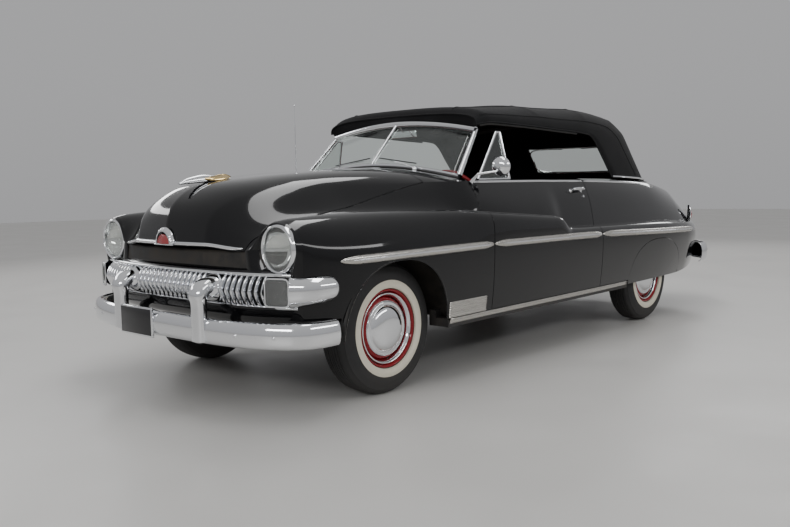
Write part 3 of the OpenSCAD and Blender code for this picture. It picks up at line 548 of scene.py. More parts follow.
def twill(name, shade):
    """Coarse top cloth: fine cross ribs, a little pile, faded where it is stretched."""
    n = Nodes(name)
    ribs = n.wave(190, "X") * 0.5 + n.wave(190, "Y") * 0.5
    slub = n.noise(60, 5, 0.7)
    fade = n.noise(3, 5, 0.6)
    base = n.mix(n.between(fade, 0.35, 0.75) * 0.5 + slub * 0.25, [c * 0.75 for c in shade],
                 [c * 1.5 + 0.001 for c in shade])
    return n.done(n.skin(Base_Color=base, Roughness=n.between(slub, 0.3, 0.7, 0.82, 0.96), Sheen_Weight=0.06,
                         Sheen_Roughness=0.5, Specular_IOR_Level=0.12,
                         Normal=n.bump(ribs + slub * 0.7, 0.35, 0.0007)))


def rubber(name, shade=(0.022, 0.022, 0.023), rough=0.72):
    n = Nodes(name)
    scuff = n.noise(30, 6, 0.7)
    dust = n.between(n.axis("Z"), 0.2, 0.0) * scuff
    return n.done(n.skin(Base_Color=n.mix(dust * 0.35 + scuff * 0.12, shade, (0.12, 0.11, 0.1)),
                         Roughness=n.between(scuff, 0.3, 0.7, rough - 0.1, rough + 0.1),
                         Specular_IOR_Level=0.4, Normal=n.bump(scuff, 0.15, 0.0008)))


def pale_band(name, shade):
    n = Nodes(name)
    stain = n.between(n.noise(26, 6, 0.7), 0.45, 0.75)
    # low darkens the band towards the floor: painted shade; stain gives random stains.
    low = n.between(n.axis("Z"), 0.3, 0.06)
    return n.done(n.skin(Base_Color=n.mix(stain * 0.2 + low * 0.12, shade, [c * 0.62 for c in shade]),
                         Roughness=n.between(stain, 0, 1, 0.5, 0.68), Normal=n.bump(stain, 0.08, 0.0006)))


def hide(name, shade):
    """Leather with pebbled grain, worn lighter on its high places."""
    n = Nodes(name)
    grain = n.add("ShaderNodeTexVoronoi", {"feature": "DISTANCE_TO_EDGE"}, {"Vector": n.at, "Scale": 260.0})
    wear = n.between(n.noise(7, 5, 0.6), 0.45, 0.8)
    return n.done(n.skin(Base_Color=n.mix(wear * 0.45, shade, [c * 1.9 + 0.01 for c in shade]),
                         Roughness=n.between(wear, 0, 1, 0.5, 0.34), Specular_IOR_Level=0.45,
                         Normal=n.bump(grain, 0.25, 0.0006)))


def carpet(name, shade):
    n = Nodes(name)
    pile = n.noise(420, 3, 0.8)
    return n.done(n.skin(Base_Color=n.mix(pile, [c * 0.5 for c in shade], [c * 1.5 for c in shade]),
                         Roughness=0.95,
                         Normal=n.bump(pile, 0.8, 0.002)))


def chassis_paint(name, shade=(0.02, 0.02, 0.021)):
    n = Nodes(name)
    grime = n.between(n.noise(8, 7, 0.7), 0.4, 0.75)
    return n.done(n.skin(Base_Color=n.mix(grime * 0.55, shade, (0.09, 0.075, 0.06)),
                         Roughness=n.between(grime, 0, 1, 0.42, 0.8), Normal=n.bump(n.noise(130, 4), 0.2,
                                                                                    0.0008)))


def pane(name, tint=(0.95, 0.98, 0.965), least=0.07):
    """Clear glass: the light goes straight through, with a faint reflection on it."""
    n = Nodes(name)
    smear = n.between(n.noise(5, 5, 0.6), 0.35, 0.8)
    edge = smear * 0.02 + least
    through = n.add("ShaderNodeBsdfTransparent", None, {"Color": tint})
    gloss = n.skin(Base_Color=(0.95, 0.97, 0.97), Metallic=1.0, Roughness=smear * 0.03 + 0.01)
    return n.done(n.add("ShaderNodeMixShader", None, {0: edge, 1: through, 2: gloss}))


def fluted_lens(name, tint, clear=0.45, across=620):
    """Ribbed lens over a bright bowl."""
    n = Nodes(name)
    flutes = n.wave(across, "X")
    through = n.add("ShaderNodeBsdfTransparent", None, {"Color": tint})
    body_of_glass = n.skin(Base_Color=n.mix(flutes * 0.3, tint, [c * 0.7 for c in tint]),
                           Roughness=n.noise(40) * 0.05 + 0.04, Coat_Weight=1.0, Specular_IOR_Level=0.8,
                           Normal=n.bump(flutes, 0.7, 0.002))
    return n.done(n.add("ShaderNodeMixShader", None, {0: 1 - clear, 1: through, 2: body_of_glass}))


def studio_floor(name, shade):
    n = Nodes(name)
    cloud = n.noise(1.3, 5, 0.6)
    fine = n.noise(160, 4, 0.6)
    return n.done(n.skin(Base_Color=n.mix(cloud * 0.5 + fine * 0.2, [c * 0.93 for c in shade], shade),
                         Roughness=n.between(cloud, 0.3, 0.7, 0.32, 0.5), Normal=n.bump(fine, 0.04, 0.001)))


@lru_cache(None)
def material(finish):
    """The finish of that name, made once."""
    p = settings()
    made = {
        "paint": lambda: enamel("gloss_black_enamel", tuple(p.paint)),
        "chrome": lambda: plated("polished_chrome"),
        "mirror": lambda: plated("mirror_silver", (0.9, 0.9, 0.9), 0.01),
        "gold": lambda: plated("gilt", (0.75, 0.55, 0.25), 0.12),
        "stainless": lambda: brushed("satin_stainless"),
        "canvas": lambda: twill("black_twill", tuple(p.canvas)),
        "lining": lambda: twill("top_lining", (0.03, 0.028, 0.027)),
        "rubber": lambda: rubber("tyre_black"),
        "trim_rubber": lambda: rubber("weather_strip", (0.015, 0.015, 0.015), 0.6),
        "whitewall": lambda: pale_band("cream_whitewall", tuple(p.whitewall)),
        "leather": lambda: hide("dark_red_leather", tuple(p.leather)),
        "carpet": lambda: carpet("dark_red_carpet", (0.05, 0.006, 0.008)),
        "chassis": lambda: chassis_paint("chassis_black"),
        # Near-black for liners and gauge faces, also the painted shade of the grille opening and of the wheels'
        # vent holes.
        "dark": lambda: chassis_paint("black_and_painted_shade", (0.006, 0.006, 0.006)),
        "glass": lambda: pane("window_glass"),
        "clear_lens": lambda: fluted_lens("clear_lens", (0.95, 0.96, 0.95), 0.88, 260),
        "red_lens": lambda: fluted_lens("red_lens", (0.45, 0.01, 0.012), 0.1, 90),
        "dash": lambda: enamel("dash_enamel", (0.07, 0.005, 0.008), 0.2),
        "wheel": lambda: enamel("wheel_enamel", tuple(p.wheel_red), 0.14),
        "ivory": lambda: enamel("ivory_plastic", (0.3, 0.02, 0.025), 0.25),
        "plate": lambda: enamel("plate_paint", (0.02, 0.02, 0.022), 0.35),
    }
    return made[finish]()


# ---- Stage
class CONVERTIBLE_OT_stage(bpy.types.Operator):
    """Camera, floor, world and soft studio lights"""
    bl_idname = "convertible.stage"
    bl_label = "Stage"

    def execute(self, context):
        scene = context.scene
        lens = bpy.data.cameras.new("Camera")
        lens.sensor_width = 36
        lens.lens = 38.83
        lens.clip_end = 100
        camera = bpy.data.objects.new("Camera", lens)
        scene.collection.objects.link(camera)
        camera.matrix_world = (Matrix.Translation((3.8104, -5.0174, 1.1251)) @ Matrix.Rotation(radians(41.892),
                                                                                               4, "Z")
                               @ Matrix.Rotation(radians(84.412), 4, "X") @ Matrix.Rotation(radians(-0.997), 4,
                                                                                            "Z"))
        scene.camera = camera
        self.floor(scene)
        self.world(scene)
        for name, at, aim, size, power in (
                ("overhead", (0.4, -0.4, 5.6), (0, 0, 0), (1.1, 6.0), 120),
                ("front_strip", (2.6, -9.0, 3.6), (0, -1.5, 0.6), (5.0, 0.9), 150),
                ("left_wall", (7.8, 0.6, 4.2), (0, 0.2, 0.5), (8.0, 0.8), 150),
                ("right_wall", (-7.5, -1.5, 3.6), (0, 0, 0.7), (7.0, 0.8), 110),
                ("behind", (-2.0, 8.5, 3.8), (0, 1.0, 0.7), (6.0, 0.9), 100)):
            light = bpy.data.lights.new(name, "AREA")
            light.shape = "RECTANGLE"
            light.size, light.size_y = size
            light.energy = power
            lamp = bpy.data.objects.new(name, light)
            scene.collection.objects.link(lamp)
            way = Vector(aim) - Vector(at)
            lamp.matrix_world = Matrix.Translation(at) @ way.to_track_quat("-Z", "Y").to_matrix().to_4x4()
        return {"FINISHED"}

    def floor(self, scene):
        bm = bmesh.new()
        bmesh.ops.create_circle(bm, cap_ends=True, segments=96, radius=24)
        bmesh.ops.translate(bm, verts=bm.verts, vec=(0, 0, -0.0005))
        mesh = bpy.data.meshes.new("floor")
        bm.to_mesh(mesh)
        bm.free()
        mesh.materials.append(studio_floor("studio_floor", tuple(settings().floor)))
        floor = bpy.data.objects.new("floor", mesh)
        scene.collection.objects.link(floor)

    def world(self, scene):
        world = bpy.data.worlds.new("Studio")
        world.use_nodes = True
        tree = world.node_tree
        tree.nodes.clear()
        at = tree.nodes.new("ShaderNodeTexCoord")
        split = tree.nodes.new("ShaderNodeSeparateXYZ")
        ramp = tree.nodes.new("ShaderNodeValToRGB")
        for stop, (place, shade) in zip([ramp.color_ramp.elements[0], ramp.color_ramp.elements[1],
                                         ramp.color_ramp.elements.new(0.5)],
                                        ((0.0, 0.3), (0.72, 0.12), (0.55, 0.8))):
            stop.position = place
            stop.color = (shade, shade, shade * 1.02, 1)
        back = tree.nodes.new("ShaderNodeBackground")
        back.inputs["Strength"].default_value = 0.52
        out = tree.nodes.new("ShaderNodeOutputWorld")
        half = tree.nodes.new("ShaderNodeMapRange")
        half.inputs["From Min"].default_value = -1
        tree.links.new(at.outputs["Generated"], split.inputs[0])
        tree.links.new(split.outputs["Z"], half.inputs["Value"])
        tree.links.new(half.outputs[0], ramp.inputs[0])
        tree.links.new(ramp.outputs[0], back.inputs["Color"])
        tree.links.new(back.outputs[0], out.inputs["Surface"])
        scene.world = world


# ---- Panels
ARCH_US = [ARCH_Y + ARCH_HALF * cos(radians(a)) for a in range(177, 2, -4)]
SKIRT_US = [SKIRT_Y + SKIRT_HALF * cos(radians(a)) for a in range(176, 3, -4)]


def panel(us, ss):
    rows = [ss(u) for u in us]
    count = min(len(r) for r in rows)
    assert all(len(r) == count for r in rows)
    return mapped(len(us), count, lambda i, j: body(us[i], rows[i][j]))


class CONVERTIBLE_OT_hood(bpy.types.Operator):
    """Hood, with the cowl behind it"""
    bl_idname = "convertible.hood"
    bl_label = "Hood and cowl"

    def execute(self, context):
        p = settings()
        gap = p.shut_line / MM
        us = joined(steps(FRONT, -2300, 14), steps(-2300, -2100, 20), steps(-2100, HOOD_BACK - gap, 42))
        hood = panel(us, lambda u: [t * (along(HOOD_SEAM, u) - SEAM_GAP) for t in steps(-1, 1, 96)])
        keep(hood, "hood_skin", "hood", "paint", replaces=("hood",), thick=p.skin, bevel=0.0015)
        us = joined(steps(HOOD_BACK + gap, DOOR_FRONT - 1, 16), steps(DOOR_FRONT + 1, COWL_BACK, 3))
        inner = 1 - 94 / 780

        def cowl_columns(u):
            return [t * (0.999 if u < DOOR_FRONT else inner) for t in steps(-1, 1, 70)]
        keep(panel(us, cowl_columns), "cowl_skin", "body", "paint", replaces=("cowl",), thick=p.skin,
             bevel=0.001)
        vent = mapped(7, 41, lambda i, j: body(-1205 + i * 10, (-1 + j / 20) * 0.33) + Vector((0, 0, 0.0012)))
        keep(vent, "cowl_vent", "body", "chrome", thick=0.001)
        for k in range(5):
            y = -1200 + k * 11
            slot = [body(y, t * 0.32) + Vector((0, 0, 0.0035)) for t in steps(-1, 1, 24)]
            keep(tube(slot, 0.0022, 8), "cowl_vent_bar_%d" % k, "body", "chrome")
        return {"FINISHED"}


class CONVERTIBLE_OT_sides(bpy.types.Operator):
    """Front fenders, doors, rear quarters and skirts"""
    bl_idname = "convertible.sides"
    bl_label = "Fenders, doors and quarters"

    def execute(self, context):
        p = settings()
        gap = p.shut_line / MM
        fender_us = joined(steps(FRONT, -2180, 16), ARCH_US, steps(-1380, DOOR_FRONT - gap, 18))

        def fender_columns(u):
            first = along(HOOD_SEAM, u) + SEAM_GAP if u < HOOD_BACK else 1.0
            return joined(steps(first, 2, 14), steps(2, 3, 16), steps(3, 4, 14), steps(4, 5, 14))
        door_us = joined(steps(DOOR_FRONT + gap, -350, 26), steps(-350, -60, 40),
                         steps(-60, DOOR_BACK - gap, 16))
        quarter_us = joined(steps(DOOR_BACK + gap, 740, 14), SKIRT_US, steps(1690, REAR, 46))

        def quarter_columns(u):
            return joined(steps(along(DECK_SEAM, u) + DECK_GAP, 1, 6), steps(1, 2, 14), steps(2, 3, 10),
                          steps(3, 4, 14), steps(4, 5, 14))

        def skirt_point(i, j):
            u = SKIRT_US[i]
            top = low_z(u) - 4
            return body(u, 5, top + (SKIRT_LOW - top) * j / 14)
        shapes = (("front_fender", "body", panel(fender_us, fender_columns), p.skin),
                  ("rear_quarter", "body", panel(quarter_us, quarter_columns), p.skin),
                  ("door", None, self.door(door_us), 0),
                  ("fender_skirt", "body", mapped(len(SKIRT_US), 15, skirt_point), p.skin))
        for name, rides, left, thick in shapes:
            for side, sign in SIDES:
                bm = left.copy() if sign > 0 else mirrored(left)
                node = "fender_skirts" if name == "fender_skirt" else "%s_%s" % (name, side)
                keep(bm, "%s_skin_%s" % (name, side), rides or "door_" + side, "paint", replaces=(node,),
                     thick=thick, bevel=0.0012)
            left.free()
        self.lips()
        return {"FINISHED"}

    def door(self, us):
        """Closed door: outer skin, lower edge, inner side and belt."""
        depth = 0.078
        outer = joined(steps(1, 2, 12), steps(2, 3, 14), steps(3, 4, 12), steps(4, 5, 12))
        last = len(us) - 1
        rings = []
        for i, u in enumerate(us):
            back = 0.02 if i == last else 0
            out = [body(u, s) for s in outer]
            rings.append(out + [q - Vector((depth, back, 0)) for q in reversed(out)])
        return closed_loft(rings)

    def lips(self):
        """Rolled edges of the arches, and a dark liner over each front wheel."""
        for side, sign in SIDES:
            edge = [body(u, 5) for u in ARCH_US]
            edge = [Vector((sign * (q.x - 0.004), q.y, q.z)) for q in edge]
            keep(tube(edge, 0.005, 10), "arch_lip_" + side, "body", "paint")

            def liner(i, j):
                a = pi * i / 40
                r = 0.43
                x = 0.575 + 0.36 * j / 6
                return Vector((sign * x, FRONT_AXLE * MM - r * cos(a), 0.36 + r * 0.95 * sin(a)))
            keep(mapped(41, 7, liner, inside=(sign * 0.74, FRONT_AXLE * MM, 0.4)), "wheelhouse_" + side, "body",
                 "dark", thick=0.002)


class CONVERTIBLE_OT_rear(bpy.types.Operator):
    """Rear deck, trunk lid and valance"""
    bl_idname = "convertible.rear"
    bl_label = "Rear deck, lid and valance"

    def rear_row(self, s, n, gap):
        e = body(REAR, s)
        bulge = REAR_BULGE * MM * smooth((s - 1) / 0.7)
        return [Vector((t * (e.x - gap), e.y + bulge * (1 - t * t), e.z)) for t in steps(-1, 1, n)]

    def execute(self, context):
        p = settings()
        gap = p.shut_line / MM
        n = 64
        us = joined(steps(LID_FRONT + gap, 2380, 34), steps(2380, REAR, 12))
        rows = [[body(u, t * (along(DECK_SEAM, u) - DECK_GAP)) for t in steps(-1, 1, n)] for u in us]
        rows += [self.rear_row(s, n, 0.004) for s in joined(steps(1.1, 2, 12), steps(2, 3.93, 26))]
        keep(mapped(len(rows), n + 1, lambda i, j: rows[i][j]), "trunk_lid_skin", "trunk_lid", "paint",
             replaces=("trunk_lid",), thick=p.skin, bevel=0.0015)
        low = [self.rear_row(s, n, 0.001) for s in steps(3.99, 5, 14)]
        keep(mapped(len(low), n + 1, lambda i, j: low[i][j]), "rear_valance_skin", "body", "paint",
             replaces=("rear_valance",), thick=p.skin, bevel=0.001)
        keep(self.deck(gap), "rear_deck_skin", "body", "paint", replaces=("rear_deck",), thick=p.skin,
             bevel=0.001)
        return {"FINISHED"}

    def deck(self, gap):
        """Panel between the soft top's base and the lid and quarters."""
        s_mid = along(DECK_SEAM, LID_FRONT)
        back = [body(LID_FRONT - gap, s) for s in steps(0, s_mid - 0.004, 24)]
        back += [body(u, along(DECK_SEAM, u) - DECK_GAP) for u in steps(1795, 1320, 40)]
        m = len(back) - 1
        front = [base_point(90 - 80 * i / m, 0.985) for i in range(m + 1)]
        half = [[front[i].lerp(back[i], k / 6) for k in range(7)] for i in range(m + 1)]
        rows = [[Vector((-q.x, q.y, q.z)) for q in half[i]] for i in range(m, 0, -1)] + half

        def onto_body(i, j):
            q = rows[i][j]
            u = q.y / MM
            s = abs(q.x) / along(SHOULDER, u) / MM
            return Vector((q.x, q.y, body(u, min(1, s)).z))
        return mapped(len(rows), 7, onto_body)


def base_point(a, shrink=1.0):
    """Line of the soft top's base on the body; a is 90 at the centre and 0 at the side."""
    y = 1300 + (1762 - 1300) * sin(radians(a)) ** (2 / 3.2) * shrink
    x = 733 * max(0, cos(radians(a))) ** (2 / 3.2) * shrink
    return body(y, min(1, x / along(SHOULDER, y)))


# ---- Bright work
def band_point(half, end_y, reach, power, t, out, z, way):
    """Point of a bar that wraps round an end of the car; t runs from -90 at one end to 90."""
    c = max(0, cos(radians(t))) ** (2 / power)
    s = abs(sin(radians(t))) ** (2 / power)
    normal = Vector((copysign(s ** (power - 1) / half, t), c ** (power - 1) / reach)).normalized()
    return Vector((copysign(half * s, t) + out * normal.x, way * (end_y + reach * c + out * normal.y), z)) * MM


def band(half, end_y, reach, power, section_points, way, n=120):
    """Wrapped bar with a section of (outwards, height) points in millimetres."""
    ts = [copysign(89.6 * (abs(k) / n) ** 0.85, k) for k in range(-n, n + 1)]

    def place(i, j):
        out, z = section_points[j]
        return band_point(half, end_y, reach, power, ts[i], out, z, way)
    return mapped(len(ts), len(section_points), place, inside=lambda c: Vector((0, c.y * 0.8, c.z)))


def rounded(points, n=5):
    """Section through points, with a smooth curve of n steps in each stretch."""
    out = []
    for i in range(len(points) - 1):
        a, b = points[max(0, i - 1)], points[i]
        c, d = points[i + 1], points[min(len(points) - 1, i + 2)]
        for k in range(n):
            t = k / n
            out.append(tuple(0.5 * (2 * b[m] + (c[m] - a[m]) * t
                                    + (2 * a[m] - 5 * b[m] + 4 * c[m] - d[m]) * t * t
                                    + (3 * b[m] - a[m] - 3 * c[m] + d[m]) * t ** 3) for m in (0, 1)))
    return out + [points[-1]]


class CONVERTIBLE_OT_bumpers(bpy.types.Operator):
    """Bumpers with their guards, bolts and plates"""
    bl_idname = "convertible.bumpers"
    bl_label = "Bumpers"

    def execute(self, context):
        front = rounded([(-24, 345), (-10, 349), (1, 362), (7, 384), (9, 408), (7, 430), (1, 452), (-9, 467),
                         (-26, 473)], 3)
        keep(band(*FRONT_BAR, front, -1), "front_bumper_blade", "body", "chrome", replaces=("front_bumper",),
             thick=0.004, bevel=0.001)
        rear = rounded([(-24, 391), (-10, 396), (1, 414), (7, 442), (9, 468), (7, 494), (1, 520), (-9, 539),
                        (-26, 546)], 3)
        keep(band(*REAR_BAR, rear, 1), "rear_bumper_blade", "body", "chrome", replaces=("rear_bumper",),
             thick=0.004, bevel=0.001)
        for side, sign in SIDES:
            keep(self.guard(sign * 0.354, -2.600, 0.348, 0.655, -1, 0.06), "front_guard_" + side, "body",
                 "chrome")
            keep(self.guard(sign * 0.400, 2.590, 0.392, 0.640, 1, 0.0), "rear_guard_" + side, "body", "chrome")
            keep(block((sign * 0.4175 - 0.02, -2.585, 0.385), (sign * 0.4175 + 0.02, -2.3, 0.43)),
                 "front_bumper_iron_" + side, "body", "chassis")
            keep(block((sign * 0.4175 - 0.02, 2.352, 0.48), (sign * 0.4175 + 0.02, 2.575, 0.52)),
                 "rear_bumper_iron_" + side, "body", "chassis")
            for k, x in enumerate((0.60, 0.80)):
                for end, args, z in (("front", FRONT_BAR, 0.407), ("rear", REAR_BAR, 0.463)):
                    way = -1 if end == "front" else 1
                    across = (x * 1000 / args[0]) ** args[3]
                    t = degrees(atan2(sqrt(across), sqrt(1 - across)))
                    at = band_point(*args, sign * t, 7, z / MM, way)
                    out = (band_point(*args, sign * t, 20, z / MM, way) - at).normalized()
                    bolt = placed(turned([(0, 0.006), (0.006, 0.0052), (0.0105, 0.002), (0.0115, -0.002)], 24),
                                  at, out)
                    keep(bolt, "%s_bumper_bolt_%s_%d" % (end, side, k), "body", "chrome")
        for name, x, y, z, way in (("front", -0.18, -2.624, 0.412, -1), ("rear", 0.0, 2.631, 0.465, 1)):
            low = (x - 0.152, min(y, y - way * 0.012), z - 0.078)
            high = (x + 0.152, max(y, y - way * 0.012), z + 0.078)
            keep(block(low, high, 0.004), name + "_plate_frame", "body", "chrome")
            face = y + way * 0.0006
            keep(block((x - 0.143, min(face, face - way * 0.004), z - 0.069),
                       (x + 0.143, max(face, face - way * 0.004),
                        z + 0.069), 0.0015), name + "_plate", "body", "plate")
        return {"FINISHED"}

    def guard(self, x, y, low, high, way, hook):
        """Wide upright guard with a bull nose that curves back over the bar."""
        rings = []
        bend_r = 0.055
        straight = high - low - bend_r
        length = straight + bend_r * pi / 2 + hook
        for i in range(41):
            d = length * i / 40
            if d < straight:
                back, z, tilt = 0.0, low + d, 0.0
            elif d < straight + bend_r * pi / 2:
                tilt = (d - straight) / bend_r
                back, z = bend_r * (1 - cos(tilt)), low + straight + bend_r * sin(tilt)
            else:
                tilt = pi / 2
                back, z = bend_r + d - straight - bend_r * pi / 2, high
            t = d / length
            end = min(1.0, sin(pi / 2 * min(1, t / 0.05)) * sin(pi / 2 * min(1, (1 - t) / 0.05)) + 0.35)
            swell = smooth((t - 0.45) / 0.25)
            w = (0.046 + 0.006 * swell) * end
            deep = (0.030 + 0.012 * swell) * end
            ring = []
            for a in circle(32):
                cx, cy = squared(cos(a), 0.7) * w, squared(sin(a), 0.85) * deep
                ring.append(Vector((x + cx, y - way * back + way * cy * cos(tilt),
                                    z + cy * sin(tilt) - 0.03 * swell)))
            rings.append(ring)
        return closed_loft(rings)


class CONVERTIBLE_OT_nose(bpy.types.Operator):
    """Fender noses, headlamps, grille, hood lip and parking lamps"""
    bl_idname = "convertible.nose"
    bl_label = "Nose"

    LAMP = Vector((0.730, -2.392, 0.810))

    def execute(self, context):
        for side, sign in SIDES:
            self.fender_nose(side, sign)
            self.headlamp(side, sign)
        self.grille()
        self.hood_lip()
        return {"FINISHED"}

    def fender_nose(self, side, sign):
        """Panel that closes the fender round its headlamp."""
        edge = [body(FRONT, s) for s in joined(steps(1.95, 3, 30), steps(3, 4, 24), steps(4, 5, 18))]
        low, top = edge[-1], edge[0]
        edge += [low.lerp(Vector((0.56, -2.44, low.z)), k / 16) for k in range(1, 17)]
        edge += [Vector((0.56, -2.44, low.z)).lerp(top, k / 16) for k in range(1, 16)]
        n = len(edge)
        lamp = self.LAMP
        start = atan2(edge[0].z - lamp.z, edge[0].x - lamp.x)

        def place(i, j):
            e = edge[i % n]
            a = atan2(e.z - lamp.z, e.x - lamp.x) if i < n else start
            c = lamp + Vector((0.112 * cos(a), 0.0, 0.112 * sin(a)))
            t = j / 12
            p = e.lerp(c, t)
            p.y = e.y + (c.y - e.y) * t - 0.02 * sin(pi * t) * (1 if e.z > 0.6 else 0.4)
            return Vector((sign * p.x, p.y, p.z))
        bm = mapped(n + 1, 13, place, inside=(sign * 0.73, -1.9, 0.7), weld=1e-5)
        keep(bm, "fender_nose_" + side, "body", "paint", thick=0.004, bevel=0.001)

    def headlamp(self, side, sign):
        lamp = Vector((sign * self.LAMP.x, self.LAMP.y, self.LAMP.z))
        ring = rounded([(0.101, -0.008), (0.1005, 0.012), (0.104, 0.024), (0.110, 0.027), (0.1165, 0.022),
                        (0.120, 0.008), (0.1205, -0.008), (0.119, -0.02)], 4)
        keep(placed(turned(ring, 96), lamp, (0, -1, 0)), "headlamp_bezel_" + side, "body", "chrome",
             replaces=("headlamps",))
        bowl = [(0.1, 0.004), (0.092, -0.012), (0.075, -0.030), (0.045, -0.045), (0.014, -0.051), (0, -0.051)]
        keep(placed(turned(rounded(bowl, 4), 72), lamp, (0, -1, 0)), "headlamp_bowl_" + side, "body", "mirror")
        bulb = [(0, -0.02), (0.008, -0.022), (0.012, -0.032), (0.011, -0.05), (0.009, -0.066)]
        keep(placed(turned(rounded(bulb, 4), 32), lamp, (0, -1, 0)), "headlamp_bulb_" + side, "body",
             "clear_lens")
        glass = [(0, 0.031), (0.03, 0.0302), (0.06, 0.027), (0.085, 0.0205), (0.1015, 0.012)]
        keep(placed(turned(rounded(glass, 5), 72), lamp, (0, -1, 0)), "headlamp_lens_" + side, "body",
             "clear_lens",
             thick=0.003)
        for k, a in enumerate((-90, 30, 150)):
            at = lamp + Vector((0.1155 * cos(radians(a)), -0.0235, 0.1155 * sin(radians(a))))
            keep(placed(turned([(0, 0.002), (0.0028, 0.0014), (0.0036, -0.001)], 16), at, (0, -1, 0)),
                 "headlamp_screw_%s_%d" % (side, k), "body", "chrome")

    def grille(self):
        """Heavy bar with chevron ribs between the guards and beside them, over a black sheet that paints the
        shade of the opening.
        """
        teeth = [self.tooth(0.0)]
        for k in range(1, 8):
            teeth += [self.tooth(0.040 * k), self.tooth(-0.040 * k)]
        for k in range(8):
            teeth += [self.tooth(0.432 + 0.0375 * k), self.tooth(-0.432 - 0.0375 * k)]
        keep(several(*teeth), "grille_teeth", "body", "chrome", replaces=("grille",))
        for k, z in enumerate((533, 688)):
            rail = [band_point(*GRILLE_LINE, t, -44, z, -1) for t in steps(-58, 58, 160)]
            keep(tube(rail, 0.009, 12), "grille_rail_%d" % k, "body", "chrome")
        for side, sign in SIDES:
            at = band_point(*GRILLE_LINE, sign * self.turn_of(0.354), -64, 612, -1)
            pod = rounded([(0, 0.098), (0.03, 0.094), (0.052, 0.078), (0.066, 0.052), (0.072, 0.02),
                           (0.073, -0.02)], 6)
            keep(placed(turned(pod, 64), at, (0, -1, 0)), "grille_pod_" + side, "body", "chrome")
            self.wing(side, sign)
        # A black sheet behind the teeth paints the shade of the grille opening.
        dark = [(-62, 470), (-60, 540), (-60, 690), (-66, 795)]
        keep(band(830, *GRILLE_CURVE, rounded(dark, 4), -1, n=40), "grille_opening_painted_shade", "body", "dark", thick=0.003)
        apron = rounded([(-20, 534), (-26, 510), (-38, 480), (-60, 452), (-92, 436)], 4)
        keep(band(905, *GRILLE_CURVE, apron, -1, n=80), "front_apron", "body", "paint", thick=0.004,
             bevel=0.001)
        upper = rounded([(-36, 688), (-40, 700), (-62, 716)], 4)
        keep(band(800, *GRILLE_CURVE, upper, -1, n=60), "grille_upper_filler", "body", "paint", thick=0.003)
        for side, sign in SIDES:
            self.parking_lamp(side, sign)

    def turn_of(self, x):
        """Angle along the grille's line at that place across the car."""
        across = (abs(x) / MM / GRILLE_LINE[0]) ** GRILLE_LINE[3]
        return degrees(atan2(sqrt(across), sqrt(1 - across)))

    def tooth(self, x):
        """Upright rib whose bright edge juts forward at half its height."""
        t = copysign(self.turn_of(x), x)
        rings = []
        for z in steps(535, 686, 18):
            v = abs(z - 608) / 76
            front = 7 - 34 * v ** 1.25 - 16 * v ** 6
            at = band_point(*GRILLE_LINE, t, front, z, -1)
            out = (band_point(*GRILLE_LINE, t, front + 10, z, -1) - at).normalized()
            across = Vector((-out.y, out.x, 0))
            wedge = [(0, -0.002), (-0.002, -0.0034), (-0.010, -0.0054), (-0.024, -0.0088), (-0.034, -0.009),
                     (-0.034, 0.009), (-0.024, 0.0088), (-0.010, 0.0054), (-0.002, 0.0034), (0, 0.002)]
            rings.append([at + out * f + across * g for f, g in wedge])
        return closed_loft(rings)

    def wing(self, side, sign):
        """End of the grille: a bright cap that wraps the corner and narrows towards the wheel."""
        start = self.turn_of(0.822)

        def place(i, j):
            a = i / 40
            t = start + (89.0 - start) * a
            end = sin(pi / 2 * min(1, (1 - a) / 0.12)) ** 0.5 if a > 0.88 else 1.0
            mid = 609 + 16 * a
            half = (75 - 20 * a) * max(0.02, end)
            v = 2 * j / 24 - 1
            return band_point(*GRILLE_LINE, sign * t, -30 + 38 * (1 - abs(v) ** 3) * max(0.1, end),
                              mid + half * v, -1)
        keep(mapped(41, 25, place, inside=(sign * 0.6, -1.9, 0.609)), "grille_wing_" + side, "body", "chrome",
             thick=0.003)

    def parking_lamp(self, side, sign):
        """Ribbed rectangular lamp let into the end of the bar."""
        def on_bar(x, z, out):
            t = degrees(atan2((x / 955) ** 1.45, sqrt(1 - (x / 955) ** 2.9)))
            return band_point(*GRILLE_LINE, sign * t, out, z, -1)
        frame_ring = [on_bar(712 + 58 + 56 * cos(a) * (abs(cos(a)) ** -0.72 if abs(cos(a)) > 1e-6 else 1),
                             611 + 66 * sin(a) * (abs(sin(a)) ** -0.72 if abs(sin(a)) > 1e-6 else 1), 6)
                      for a in steps(0, 2 * pi, 48)]
        keep(tube(frame_ring, 0.004, 8), "parking_lamp_frame_" + side, "body", "chrome")
        lens = mapped(25, 13, lambda i, j: on_bar(718 + i * 104 / 24, 549 + j * 10.3,
                                                  6 + 8 * sin(pi * i / 24) ** 0.5 * sin(pi * j / 12) ** 0.5),
                      inside=(sign * 0.7, -1.9, 0.609))
        keep(lens, "parking_lamp_lens_" + side, "body", "clear_lens", thick=0.003)

    def hood_lip(self):
        """Bright lip along the hood's front edge, the emblem and the ornament."""
        path = [body(FRONT + 0.5, t * 1.9) for t in steps(-1, 1, 160)]
        away = [Vector((0.35 * q.x, -1, -0.12)).normalized() for q in path]
        path = [q + Vector((0, 0, 0.011)) for q in path]
        keep(trim(path, away, 0.011, 0.012), "hood_lip", "hood", "chrome", thick=0.002)
        self.emblem()
        self.ornament()

